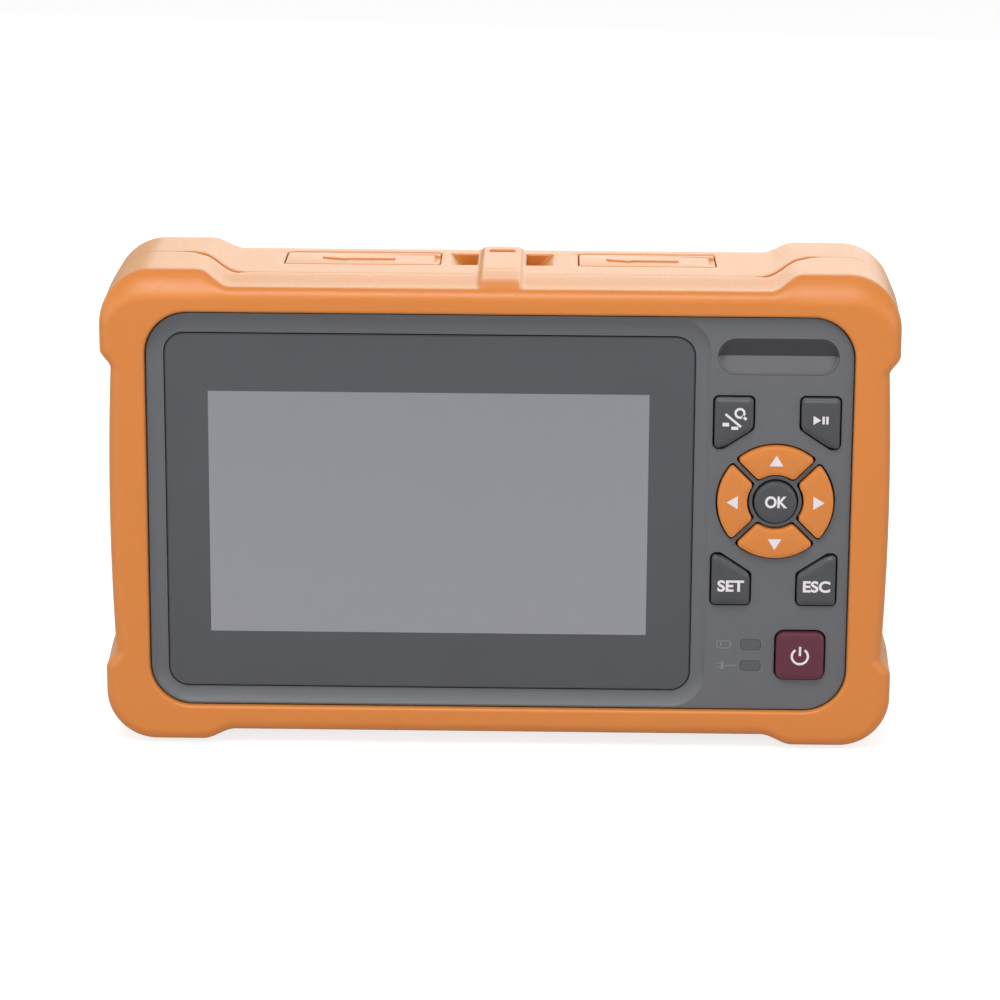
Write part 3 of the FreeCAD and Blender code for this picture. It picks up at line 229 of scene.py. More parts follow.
def skin(name: str, rings: np.ndarray, closed: bool = False) -> bpy.types.Object:
    """Skin a stack of rings with quads.

    Args:
        name: name of the piece.
        rings: array of shape (rings, points, 3), in millimetres.
        closed: whether the last ring joins the first; if not, a polygon fills each end.

    Returns:
        The piece.
    """
    rows, columns, _ = rings.shape
    row = np.arange(rows if closed else rows - 1)[:, None]
    column = np.arange(columns)[None, :]
    after = (column + 1) % columns
    above = (row + 1) % rows
    quads = np.stack([row * columns + column, row * columns + after, above * columns + after,
                      above * columns + column], axis=-1)
    faces = quads.reshape(-1, 4).tolist()
    if not closed:
        faces += [list(range(columns)), list(range((rows - 1) * columns, rows * columns))]
    return piece_from(name, rings.reshape(-1, 3), faces)


def cut_away(obj: bpy.types.Object, cutters: list[bpy.types.Object]) -> None:
    """Cut closed pieces out of a piece and remove them.

    Args:
        obj: the piece that is cut.
        cutters: closed pieces that are cut from it one after another.
    """
    for cutter in cutters:
        modifier = obj.modifiers.new("cut", "BOOLEAN")
        modifier.operation = "DIFFERENCE"
        modifier.solver = "EXACT"
        modifier.object = cutter
    depsgraph = bpy.context.evaluated_depsgraph_get()
    cut = bpy.data.meshes.new_from_object(obj.evaluated_get(depsgraph))
    obj.modifiers.clear()
    obj.data = cut
    for cutter in cutters:
        bpy.data.objects.remove(cutter)


def wider(span: Span, grow: float) -> Span:
    """Move both ends of a span outwards.

    Args:
        span: its ends.
        grow: how far each one moves; below zero is inwards.

    Returns:
        The new ends.
    """
    return span[0] - grow, span[1] + grow


def at_height(plan: np.ndarray, z: float) -> np.ndarray:
    """Lay a plan level.

    Args:
        plan: array of shape (count, 2), across and backwards.
        z: its height.

    Returns:
        Array of shape (count, 3).
    """
    return np.column_stack([plan, np.full(len(plan), z)])


def at_depth(plan: np.ndarray, y: float) -> np.ndarray:
    """Stand a plan upright.

    Args:
        plan: array of shape (count, 2), across and upwards.
        y: its depth.

    Returns:
        Array of shape (count, 3).
    """
    return np.column_stack([plan[:, 0], np.full(len(plan), y), plan[:, 1]])


def rounded_ring(x: Span, y: Span, radius: float, z: float) -> np.ndarray:
    """Level ring round a rounded rectangle: four quarter circles joined by straight sides.

    Args:
        x: its left and right side.
        y: its near and far side.
        radius: of its corners.
        z: its height.

    Returns:
        Array of shape (count, 3), counter-clockwise.
    """
    turn = np.linspace(0, QUARTER, 7)
    centres = [(x[1] - radius, y[1] - radius), (x[0] + radius, y[1] - radius), (x[0] + radius, y[0] + radius),
               (x[1] - radius, y[0] + radius)]
    arcs = []
    for k, centre in enumerate(centres):
        angle = turn + k * QUARTER
        arcs.append(np.array(centre) + radius * np.column_stack([np.cos(angle), np.sin(angle)]))
    return at_height(np.concatenate(arcs), z)


def cutter(rings: list[np.ndarray]) -> bpy.types.Object:
    """Make a closed piece that is cut out of another one.

    Args:
        rings: level rings from one end to the other, in millimetres.

    Returns:
        The piece.
    """
    return finish_mesh(skin("cutter", np.array(rings)))


# ------------------------------------------------------------------ finishes
@dataclass(frozen=True)
class Finish:
    """A moulded, painted or metal surface: one colour with a little mottling, a grain in relief, and on some
    a painted shade where the view glances.
    """

    name: str
    colour: str
    roughness: float
    mottle: float = 0.04          # how far the colour wanders
    mottle_mm: float = 14.0       # size of a patch of the mottling
    grain_mm: float = 0.45        # size of the grain
    grain_depth: float = 0.02     # height of the grain, in millimetres
    gloss_spread: float = 0.06    # how far the roughness wanders
    ior: float = 1.5
    metallic: float = 0.0
    sheen: float = 0.0
    stretch: tuple[float, float, float] = (1.0, 1.0, 1.0)   # draws the grain out into brush lines
    glancing_shade: str = ""               # painted shade: a darker, yellower colour mixed in where the view glances, if wanted

    def material(self) -> bpy.types.Material:
        """Build the node material, or return it if it exists.

        Returns:
            The material.
        """
        if self.name in bpy.data.materials:
            return bpy.data.materials[self.name]
        material = bpy.data.materials.new(self.name)
        tree = bare_tree(material)
        place = add_node(tree, "TexCoord").outputs["Object"]
        spread = add_node(tree, "Mapping", {"Vector": place, "Scale": self.stretch}).outputs[0]
        patches = add_node(tree, "TexNoise", {
            "Vector": place, "Scale": 1 / (self.mottle_mm * MM), "Detail": 3.0,
            "Roughness": 0.55}).outputs["Fac"]
        grain = add_node(tree, "TexNoise", {
            "Vector": spread, "Scale": 1 / (self.grain_mm * MM), "Detail": 2.0,
            "Roughness": 0.6}).outputs["Fac"]
        base = linear(self.colour)
        low = tuple(v * (1 - self.mottle) for v in base[:3]) + (1.0,)
        high = tuple(min(v * (1 + self.mottle), 1.0) for v in base[:3]) + (1.0,)
        tint = add_node(tree, "Mix", {0: patches, 6: low, 7: high}, data_type="RGBA").outputs[2]
        # painted shade: where the view glances, as on the boot's top, the colour turns darker and yellower
        if self.glancing_shade:
            facing = add_node(tree, "LayerWeight", {"Blend": 0.5}).outputs["Facing"]
            share = add_node(tree, "MapRange", {
                "Value": facing, "From Min": 0.5, "From Max": 0.76}).outputs[0]
            tint = add_node(tree, "Mix", {
                0: share, 6: tint, 7: linear(self.glancing_shade)}, data_type="RGBA").outputs[2]
        gloss = add_node(tree, "MapRange", {
            "Value": grain, "From Min": 0.3, "From Max": 0.7,
            "To Min": max(self.roughness - self.gloss_spread, 0.02),
            "To Max": min(self.roughness + self.gloss_spread, 1.0)}).outputs[0]
        relief = add_node(tree, "Bump", {
            "Height": grain, "Strength": 1.0, "Distance": self.grain_depth * MM}).outputs[0]
        shader = add_node(tree, "BsdfPrincipled", {
            "Base Color": tint, "Roughness": gloss, "Normal": relief, "Metallic": self.metallic,
            "Sheen Weight": self.sheen})
        if self.metallic < 0.5:
            shader.inputs["IOR"].default_value = self.ior
        add_node(tree, "OutputMaterial", {"Surface": shader.outputs[0]})
        return material


def settle(piece: bpy.types.Object, finish: Finish, body: str,
           node: str = "") -> bpy.types.Object:
    """Give a piece its finish and its body.

    Args:
        piece: the piece.
        finish: its finish.
        body: the body it rides on.
        node: the CAD node that it stands for, if it replaces one.

    Returns:
        The same piece.
    """
    paint(piece, finish.material())
    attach(piece, body)
    if node:
        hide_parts(node)
    return piece


# thermoplastic elastomer, moulded in a satin tool: wide soft highlights, no visible grain
# its colour at a glancing view is painted shade, darker and yellower, which tones down the lit top
BOOT_RUBBER = Finish("boot_elastomer", "#d98238", 0.42, mottle=0.02, mottle_mm=22, grain_mm=0.6,
                     grain_depth=0.008, glancing_shade="#cc8a3e")
# ABS moulded in a spark-eroded tool: an even fine grain that scatters light
CASE_ABS = Finish("case_abs", "#636569", 0.52, mottle=0.03, grain_mm=0.35, grain_depth=0.02)
# ABS key caps from a bead-blasted tool: a finer, softer sheen than the case, in three colours
KEY_ORANGE = Finish("key_abs_orange", "#d98237", 0.42, mottle=0.015, grain_mm=0.3, grain_depth=0.006)
KEY_DARK = Finish("key_abs_dark", "#45474b", 0.4, mottle=0.02, grain_mm=0.3, grain_depth=0.006)
KEY_MAROON = Finish("key_abs_maroon", "#5c2234", 0.4, mottle=0.02, grain_mm=0.3, grain_depth=0.006)
# pad-printed ink: matt, very slightly uneven
INK_WHITE = Finish("ink_white", "#e8e0e6", 0.6, mottle=0.02, mottle_mm=2, grain_mm=0.2, grain_depth=0.004)
INK_GREY = Finish("ink_grey", "#7e8085", 0.6, mottle=0.03, mottle_mm=2, grain_mm=0.2, grain_depth=0.004)
# smoked polycarbonate of the light pipes: dark and glossy, and opaque while the lamp behind is off
LAMP_SMOKE = Finish("lamp_polycarbonate", "#55575c", 0.3, mottle=0.03, mottle_mm=3, grain_mm=0.5,
                    grain_depth=0.004)
# nickel-plated brass: a bright, slightly warm mirror with faint turning marks
PORT_NICKEL = Finish("port_nickel", "#c9c6c0", 0.22, grain_mm=0.3, grain_depth=0.002, metallic=1.0,
                     stretch=(1, 1, 6))
# stamped steel: a grey mirror drawn out by rolling lines
INNER_STEEL = Finish("stamped_steel", "#b4b5b8", 0.3, grain_mm=0.6, grain_depth=0.003, metallic=1.0,
                     stretch=(0.1, 4, 4))
# zinc-plated steel screws: a duller, darker metal than the sockets
SCREW_STEEL = Finish("plated_steel", "#8f9194", 0.3, grain_mm=0.4, grain_depth=0.003, metallic=1.0)
# gilt brass of spacers and contacts: warm yellow metal
CONTACT_BRASS = Finish("gilt_brass", "#c2a25a", 0.28, grain_mm=0.4, grain_depth=0.003, metallic=1.0)
# silicone rubber: soft, a little dusty
SEAL_SILICONE = Finish("seal_silicone", "#3a3b3d", 0.6, mottle=0.06, grain_mm=0.5, grain_depth=0.01,
                       sheen=0.1)
# green solder mask over woven glass: glossy, with the weave's faint relief
BOARD_GREEN = Finish("board_solder_mask", "#1f5a3c", 0.3, mottle=0.12, mottle_mm=3, grain_mm=0.5,
                     grain_depth=0.01)
# moulded epoxy of chips and the sounder: near black and matt
PART_EPOXY = Finish("moulded_epoxy", "#26272a", 0.5, grain_mm=0.2, grain_depth=0.006)
# white nylon of the spool, its posts and the lamps' lenses: milky and smooth
SPOOL_NYLON = Finish("spool_nylon", "#e3e3de", 0.45, grain_mm=0.5, grain_depth=0.006)
# acrylate-coated fibre, wound: fine glossy lines round the spool; the flat cable's amber film is like it
FIBRE_COAT = Finish("fibre_acrylate", "#e6d488", 0.3, mottle=0.05, grain_mm=0.25, grain_depth=0.05,
                    stretch=(0.4, 6, 0.4))
# PVC shrink sleeve: glossy blue film with slight ripples
BATTERY_SLEEVE = Finish("battery_shrink_sleeve", "#2d5fa8", 0.25, mottle=0.04, grain_mm=2.0, grain_depth=0.03)
# bezel of the display module: plain grey plastic behind the window
DISPLAY_FRAME = Finish("display_frame", "#8f9096", 0.35, grain_mm=0.5, grain_depth=0.004)

NODE_FINISH = {
    CASE_ABS: "front_housing rear_housing battery_door kickstand",
    SEAL_SILICONE: "case_gasket keypad_mat window_adhesive",
    DISPLAY_FRAME: "lcd_panel",
    INNER_STEEL: "lcd_bracket optical_module host_socket charge_socket key_domes",
    CONTACT_BRASS: "module_standoffs battery_contacts",
    PORT_NICKEL: "trace_port laser_port",
    LAMP_SMOKE: "upper_lamp_window lower_lamp_window",
    SPOOL_NYLON: "indicator_lamps spool_posts fibre_spool",
    BOARD_GREEN: "key_board main_board port_board",
    PART_EPOXY: "main_board_parts buzzer",
    SCREW_STEEL: "board_screws door_screws case_screws stand_pins",
    FIBRE_COAT: "fibre_winding lcd_flex_cable",
    BATTERY_SLEEVE: "battery_pack",
}


@dataclass(frozen=True)
class ShadedBadge:
    """Gloss polycarbonate badge with painted shade: dark above a level line, where its upper half lies in
    shade, and its own grey below it.
    """

    # painted shade of the upper half
    upper: str = "#353337"
    lower: tuple[str, str] = ("#626267", "#68686d")
    soft: float = 0.08            # half the width of the line between the tones
    cloud_mm: float = 4.0         # size of the clouds in the lower tone

    def material(self, line: float) -> bpy.types.Material:
        """Build the material: the height in Object coordinates picks the painted shade above the line or the
        grey below it.

        Args:
            line: height of the line between the tones, in millimetres.

        Returns:
            The material.
        """
        material = bpy.data.materials.new("badge_polycarbonate")
        tree = bare_tree(material)
        place = add_node(tree, "TexCoord").outputs["Object"]
        height = add_node(tree, "SeparateXYZ", {0: place}).outputs["Z"]
        share = add_node(tree, "MapRange", {
            "Value": height, "From Min": (line - self.soft) * MM,
            "From Max": (line + self.soft) * MM}).outputs[0]
        fade = add_node(tree, "TexNoise", {"Vector": place, "Scale": 1 / (self.cloud_mm * MM)}).outputs["Fac"]
        low, high = (linear(tone) for tone in self.lower)
        low = add_node(tree, "Mix", {0: fade, 6: low, 7: high}, data_type="RGBA").outputs[2]
        tone = add_node(tree, "Mix", {0: share, 6: low, 7: linear(self.upper)}, data_type="RGBA").outputs[2]
        gloss = add_node(tree, "MapRange", {"Value": fade, "To Min": 0.2, "To Max": 0.28}).outputs[0]
        shader = add_node(tree, "BsdfPrincipled", {"Base Color": tone, "Roughness": gloss, "IOR": 1.5})
        add_node(tree, "OutputMaterial", {"Surface": shader.outputs[0]})
        return material


@dataclass(frozen=True)
class DisplayGlass:
    """Acrylic window, printed dark on its back round a clear area behind which the unlit panel shows grey."""

    border: tuple[str, str] = ("#4b4d52", "#505257")
    panel: tuple[str, str] = ("#93939b", "#8b8c93")     # at the panel's foot and head
    active: Span = (95.04, 53.86)     # width and height of the clear area
    soft: float = 0.04            # half the width of its edge
    fade: float = 27.0            # the panel's grey changes within this of its middle, downwards and upwards
    haze_mm: float = 20.0         # size of the clouds in the border
    fine_mm: float = 0.25         # size of the gloss's unevenness

    def material(self, centre: Span) -> bpy.types.Material:
        """Build the material: a box mask on Object coordinates picks the border or the panel.

        Args:
            centre: middle of the panel, in millimetres.

        Returns:
            The material.
        """
        material = bpy.data.materials.new("display_acrylic")
        tree = bare_tree(material)
        place = add_node(tree, "TexCoord").outputs["Object"]
        axes = add_node(tree, "SeparateXYZ", {0: place})
        masks = []
        for axis, at, size in zip("XZ", centre, self.active):
            shift = add_node(tree, "Math", {
                0: axes.outputs[axis], 1: at * MM}, operation="SUBTRACT").outputs[0]
            away = add_node(tree, "Math", {0: shift}, operation="ABSOLUTE").outputs[0]
            masks.append(add_node(tree, "MapRange", {
                "Value": away, "From Min": (size / 2 - self.soft) * MM,
                "From Max": (size / 2 + self.soft) * MM, "To Min": 1.0, "To Max": 0.0}).outputs[0])
        inside = add_node(tree, "Math", {0: masks[0], 1: masks[1]}, operation="MULTIPLY").outputs[0]
        height = add_node(tree, "MapRange", {
            "Value": axes.outputs["Z"], "From Min": (centre[1] - self.fade) * MM,
            "From Max": (centre[1] + self.fade) * MM})
        haze, fine = (add_node(tree, "TexNoise", {
            "Vector": place, "Scale": 1 / (size * MM), "Detail": detail}).outputs["Fac"]
            for size, detail in ((self.haze_mm, 2.0), (self.fine_mm, 1.0)))
        border, panel = (add_node(tree, "Mix", {
            0: share, 6: linear(tones[0]), 7: linear(tones[1])}, data_type="RGBA").outputs[2]
            for share, tones in ((haze, self.border), (height.outputs[0], self.panel)))
        colour = add_node(tree, "Mix", {0: inside, 6: border, 7: panel}, data_type="RGBA").outputs[2]
        gloss = add_node(tree, "MapRange", {"Value": fine, "To Min": 0.10, "To Max": 0.16}).outputs[0]
        shader = add_node(tree, "BsdfPrincipled", {"Base Color": colour, "Roughness": gloss, "IOR": 1.49})
        add_node(tree, "OutputMaterial", {"Surface": shader.outputs[0]})
        return material


def dress_nodes(frame: dict) -> None:
    """Give each CAD node that stays in view its finish.
    """
    nodes = frame["nodes"]
    for finish, names in NODE_FINISH.items():
        for name in names.split():
            paint(nodes[name], finish.material())
            LOG.info("%s: %s", name, finish.name)
    # the badge's upper half is coloured dark as painted shade
    paint(nodes["badge_insert"], ShadedBadge().material(middle("badge_insert")[1]))
    paint(nodes["display_window"], DisplayGlass().material(middle("lcd_panel")))


# ------------------------------------------------------------------ rubber boot
CORNER_SIGNS = ((1, 1), (-1, 1), (-1, -1), (1, -1))
# the parting line's section: (place across it in its own widths, share of its depth)
SEAM_STEPS = ((-2, 0), (-1.2, 0.15), (-0.6, 0.75), (0, 1), (0.6, 0.75), (1.2, 0.15), (2, 0))


@dataclass(frozen=True)
class CoverShape:
    """Sizes that both port covers share."""

    depth: Span = (1.0, 14.5)     # near and far edge of the seat
    thick: float = 1.8
    corner: float = 1.2
    ledge: float = 1.5            # width of the step that the cover rests on
    gap: float = 0.2
    plug_gap: float = 0.4
    plug_depth: float = 2.6
    plug_wall: float = 1.2
    edge_round: float = 0.3
    arrow_length: float = 16.0
    arrow_shift: float = 1.0      # its middle is this far to the left of the cover's
    arrow_head: Span = (5.5, 2.0)     # length and half width of its head
    arrow_half: float = 1.1       # half the width of its shaft
    arrow_rise: float = 0.3
    scoop_reach: float = 1.0      # the finger scoop cuts this far into the right end
    scoop_half: float = 3.5       # half its width


@dataclass
class RubberBoot:
    """The boot: one closed skin of rings that runs round the case, with its covers' seats cut out."""

    bumper: float = 2.3           # the corner bumpers stand out by this
    draft: float = 0.8            # the boot widens by this from the front to the seam
    crown: float = 0.85           # the sides bow out by this
    crown_end: float = 1.0        # from the end of the bow to the middle of a side's ramp
    corner_radius: float = 11.0
    top_ramp_at: float = 22.35    # middle of a ramp along the top, from the straight side
    top_ramp: float = 7.0         # its length
    side_ramp_at: float = 16.05   # middle of a ramp down the side, from the straight top
    side_ramp: float = 4.2
    front_round: float = 2.6
    bumper_roll: float = 3.0      # the front of a bumper's top slopes back further by this
    bumper_drop: float = 3.2      # and inwards by this
    bumper_edge: float = 0.65     # 1 makes that slope's edges as round as a straight run's, 0 sharp
    bumper_fade: float = 1.5      # how fast the slope fades round the corner, as a power of the way's rise
    back_round: float = 4.2
    lip_round: float = 0.7
    lip_depth: float = 2.7        # depth of the opening's edge, at the front and at the back
    rim: Span = (7.45, 5.55)      # width of the rim beside the opening and above it
    opening_up: float = 0.25      # the opening's middle is this far above the boot's
    opening_radius: float = 9.4
    core_gap: float = 0.1         # between the case and the inside
    core_radius: float = 9.1
    seam_depth: float = 14.0      # the mould's parting line, behind the front face
    seam_depth_bumper: float = 24.5
    seam_width: float = 0.32
    seam_groove: float = 0.07
    seam_notch: float = 0.9       # depth of the same line where it crosses a ramp
    seam_widen: float = 1.3       # and the share that it is wider by there
    seam_ramp: Span = (57.0, 67.3)    # where it crosses, from the middle
    notch_reach: float = 0.55     # half the notch's length, as a share of the crossing
    bridge_width: float = 9.0
    bridge_rise: float = 1.25
    bridge_x: float = 0.0
    bridge_edge: float = 1.5      # width of the bridge's soft sides
    bridge_front: Span = (1.2, 4.6)   # start of its front slope behind the front face, and the slope's length
    bridge_back: Span = (1.6, 4.4)    # the same from the back face
    bridge_dome: float = 0.12     # its edges are lower than its middle by this share
    mouth_step: float = 0.9       # strap mouths, from the bridge's side
    mouth_low: float = 2.4        # their width at the foot
    mouth_high: float = 6.0       # and at the top
    mouth_y: Span = (1.5, 14.0)
    mouth_corner: float = 0.7
    slot_width: float = 5.6
    slot_y: Span = (10.5, 12.9)
    slot_corner: float = 0.8
    cut_depth: float = 5.2        # cutters that go right through reach this far below the top

    def __post_init__(self) -> None:
        """Read the boot's place from the frame and work out its outline, its opening and its seam."""
        low, high = corners("protective_boot")
        face_low, face_high = corners("front_housing")
        self.front_y, self.back_y = low[1], high[1]
        self.mid_z = (low[2] + high[2]) / 2
        self.half = tuple((high[axis] - low[axis]) / 2 - self.bumper - self.draft for axis in (0, 2))
        self.top_z = self.mid_z + self.half[1] + self.draft
        self.centre = tuple(size + self.bumper - self.corner_radius for size in self.half)
        self.ramps = (self.half[1] - self.side_ramp_at, self.half[0] - self.top_ramp_at)
        edges = wider((self.bridge_x, self.bridge_x), self.bridge_width / 2)
        self.places = (self.samples(self.centre[1], self.ramps[0], self.side_ramp),
                       self.samples(self.centre[0], self.ramps[1], self.top_ramp, edges)[::-1])
        self.base, self.way, self.raised = self.outline()
        self.is_top = self.way[:, 1] > 0.999
        self.upright = self.raised * np.clip(self.way[:, 1], 0, 1) ** self.bumper_fade
        opening = tuple(size - rim for size, rim in zip(self.half, self.rim))
        self.opening = self.inner_ring(opening, self.opening_radius, self.opening_up)
        self.spread = self.inner_ring(tuple(size + self.lip_round for size in opening),
                                      self.opening_radius + self.lip_round, self.opening_up)
        core = (face_high[0] + self.core_gap, (face_high[2] - face_low[2]) / 2 + self.core_gap)
        self.core = self.inner_ring(core, self.core_radius, 0.0)
        self.mark_seam()

    def samples(self, reach: float, ramp_at: float, ramp: float, extra: tuple[float, ...] = ()) -> np.ndarray:
        """Places along one side, closer together on the ramps and at the extra places.

        Args:
            reach: the side runs from -reach to +reach.
            ramp_at: middle of each ramp, from the middle of the side.
            ramp: length of a ramp.
            extra: middles of further dense stretches.

        Returns:
            Increasing places; all but the last are more than 0.12 mm past the one before.
        """
        places = [np.linspace(-reach, reach, 61)]
        places += [at + np.linspace(-0.75, 0.75, 23) * ramp for at in (-ramp_at, ramp_at)]
        places += [at + np.linspace(-1.4, 1.4, 15) for at in extra]
        joined = np.sort(np.concatenate(places))
        joined = joined[(joined >= -reach) & (joined <= reach)]
        keep = np.concatenate([[True], np.diff(joined) > 0.12])
        keep[-1] = True
        return joined[keep]

    def rise(self, place: np.ndarray, ramp_at: float, ramp: float) -> np.ndarray:
        """Height of the bumper along a side: 0 on the straight, the bumper's own past the ramp.

        Args:
            place: places along the side, from its middle.
            ramp_at: middle of a ramp.
            ramp: its length.

        Returns:
            The height at each place.
        """
        return self.bumper * smooth_step((np.abs(place) - ramp_at) / ramp + 0.5)

    def ray(self, turn: int) -> np.ndarray:
        """Unit vectors of one corner's quarter circle, from its middle; turn 0 is the top right one."""
        angle = np.linspace(0, QUARTER, 26)[1:-1] + turn * QUARTER
        return np.column_stack([np.cos(angle), np.sin(angle)])

    def round_trip(self, flats: tuple[np.ndarray, ...], places: tuple[np.ndarray, ...], centre: Span,
                   radius: float) -> np.ndarray:
        """Join four sides and four quarter circles: right side, top right corner, top, and so on.

        Args:
            flats: how far out the points of the right side and of the top are.
            places: where the same points are along their sides.
            centre: middle of the top right corner.
            radius: of the corners.

        Returns:
            Ring in the (x, z) plane about the boot's middle, counter-clockwise, of shape (count, 2).
        """
        points = []
        for turn, sign in enumerate(CORNER_SIGNS):
            level = turn % 2
            pair = (flats[level], places[level])
            side = np.column_stack(pair[::-1] if level else pair)
            points += [side if turn < 2 else -side, np.array(centre) * sign + radius * self.ray(turn)]
        return np.concatenate(points)

    def outline(self) -> tuple[np.ndarray, np.ndarray, np.ndarray]:
        """Ring of the boot, the way each of its points moves when it grows, and where it is a bumper.

        Sides are straight lines with a bow and a bumper at each end; corners are quarter circles.

        Returns:
            Points and unit vectors, each of shape (count, 2), and the bumper's share of its height.
        """
        rises = tuple(self.rise(place, at, ramp)
                      for place, at, ramp in zip(self.places, self.ramps, (self.side_ramp, self.top_ramp)))
        bow = self.crown * np.clip(1 - (self.places[0] / (self.ramps[0] - self.crown_end)) ** 2, 0, None)
        flats = (self.half[0] + bow + rises[0], self.half[1] + rises[1])
        ways, raised = [], []
        for turn in range(4):
            out = np.array([math.cos(turn * QUARTER), math.sin(turn * QUARTER)]).round()
            rise = rises[turn % 2]
            ray = self.ray(turn)
            ways += [np.tile(out, (len(rise), 1)), ray]
            raised += [rise / self.bumper, np.ones(len(ray))]
        ring = self.round_trip(flats, self.places, self.centre, self.corner_radius)
        return ring, np.concatenate(ways), np.concatenate(raised)

    def inner_ring(self, half: Span, radius: float, up: float) -> np.ndarray:
        """Rounded rectangle with the same number of points on each side and corner as the boot's ring.

        Args:
            half: half its width and height.
            radius: of its corners.
            up: of its middle above the middle of the boot.

        Returns:
            Array of shape (count, 2).
        """
        centre = (half[0] - radius, half[1] - radius)
        places = tuple(place * centre[1 - level] / self.centre[1 - level]
                       for level, place in enumerate(self.places))
        flats = tuple(np.full(len(place), size) for place, size in zip(places, half))
        return self.round_trip(flats, places, centre, radius) + [0.0, up]

    def mark_seam(self) -> None:
        """Work out the parting line: deeper behind the bumpers, and a wide notch where it crosses a ramp.

        The notch's share falls off from the middle of the crossing as exp(-u^8): flat at first, then steep.
        """
        begin, end = self.seam_ramp
        across = np.abs(self.base[:, 0])
        share = np.clip((across - begin) / (end - begin), 0, 1)
        off = (across - (begin + end) / 2) / (self.notch_reach * (end - begin))
        notch = np.exp(-off ** 8) * self.is_top
        self.seam = self.front_y + self.seam_depth + (self.seam_depth_bumper - self.seam_depth) * share
        self.groove = self.seam_groove + (self.seam_notch - self.seam_groove) * notch
        self.width = self.seam_width * (1 + self.seam_widen * notch)

    def bridge_height(self, x: np.ndarray, y: np.ndarray) -> np.ndarray:
        """Height of the strip over the strap passage: a plateau with soft sides, sloping at both ends.

        Args:
            x: places across.
            y: depths.

        Returns:
            The height at each place.
        """
        off = x - self.bridge_x
        across = smooth_step((self.bridge_width / 2 + self.bridge_edge / 2 - np.abs(off)) / self.bridge_edge)
        front = smooth_step((y - self.front_y - self.bridge_front[0]) / self.bridge_front[1])
        back = smooth_step((self.back_y - self.bridge_back[0] - y) / self.bridge_back[1])
        dome = 1 - self.bridge_dome * (off / (self.bridge_width / 2)) ** 2
        return self.bridge_rise * across * front * back * dome

    def placed(self, plan: np.ndarray, depth: float | np.ndarray) -> np.ndarray:
        """Stand a ring upright at a depth, which may differ from point to point."""
        return np.column_stack([plan[:, 0], np.broadcast_to(depth, len(plan)), plan[:, 1] + self.mid_z])

    def grown(self, amount: float | np.ndarray, depth: float | np.ndarray, bridge: float = 1.0) -> np.ndarray:
        """Boot's outline moved outwards, with the bridge on its top.

        Args:
            amount: how far it moves.
            depth: where it stands.
            bridge: the share of the bridge's height that it has there.

        Returns:
            Array of shape (count, 3).
        """
        lift = np.where(self.is_top, self.bridge_height(self.base[:, 0], depth), 0.0) * bridge
        return self.placed(self.base + self.way * (amount + lift)[:, None], depth)

    def lip(self, face_y: float, inwards: int) -> list[np.ndarray]:
        """Quarter circle from the opening's edge to a face: out by r (1 - cos(a)), in by r (1 - sin(a)).

        Args:
            face_y: depth of the face.
            inwards: 1 at the front and -1 at the back.

        Returns:
            Its rings.
        """
        return [self.placed(self.opening + (self.spread - self.opening) * (1 - math.cos(angle)),
                            face_y + inwards * self.lip_round * (1 - math.sin(angle)))
                for angle in np.linspace(0, QUARTER, 6)]

    def face(self, edge: np.ndarray, face_y: float, count: int) -> list[np.ndarray]:
        """Flat face between the lip and the start of the outer round.

        Args:
            edge: the outline there.
            face_y: depth of the face.
            count: number of rings.

        Returns:
            Its rings, from the lip outwards.
        """
        return [self.placed(self.spread + (edge - self.spread) * part, face_y)
                for part in np.linspace(0, 1, count + 2)[1:-1]]

    def front(self) -> list[np.ndarray]:
        """Lip, face and outer round of the front.

        The round is a quarter of an ellipse: inwards by drop (1 - sin(a)^p), back by roll (1 - cos(a)^p).

        Returns:
            Its rings, from the inside of the lip out to the start of the side.
        """
        drop = self.front_round + self.bumper_drop * self.upright
        roll = self.front_round + self.bumper_roll * self.upright
        power = 1 + (1 - self.bumper_edge) * self.upright
        out = self.draft * self.upright
        inside = np.linspace(self.front_y + self.lip_depth, self.front_y + self.lip_round, 4)[:-1]
        rings = [self.placed(self.opening, depth) for depth in inside] + self.lip(self.front_y, 1)
        rings += self.face(self.base + self.way * (out - drop)[:, None], self.front_y, 6)
        for angle in np.linspace(0, QUARTER, 15):
            inwards, back = (1 - np.clip(turn(angle), 0, 1) ** power for turn in (math.sin, math.cos))
            rings.append(self.grown(out - drop * inwards, self.front_y + roll * back, math.sin(angle)))
        return rings

    def swell(self, depth: np.ndarray) -> np.ndarray:
        """Growth of the side up to the seam: the draft eased in, and in full on a bumper's top.

        Args:
            depth: of each point.

        Returns:
            The growth at each point.
        """
        start = self.front_y + self.front_round + self.bumper_roll * self.upright
        slope = self.draft * smooth_step((depth - start) / (self.seam - start))
        return slope + (self.draft - slope) * self.upright

    def side(self) -> list[np.ndarray]:
        """Outside between the two rounds: the draft, the seam's groove, and a level stretch.

        Returns:
            Its rings, from the front backwards.
        """
        start = self.front_y + self.front_round + self.bumper_roll * self.upright
        before, after = self.seam - 2 * self.width, self.seam + 2 * self.width
        end = self.back_y - self.back_round
        rings = []
        for part in np.linspace(0, 1, 9)[1:-1]:
            depth = start + (before - start) * part
            rings.append(self.grown(self.swell(depth), depth))
        for step, share in SEAM_STEPS:
            depth = self.seam + step * self.width
            rings.append(self.grown(self.swell(depth) - self.groove * share, depth))
        return rings + [self.grown(self.draft, after + (end - after) * part)
                        for part in np.linspace(0, 1, 15)[1:-1]]

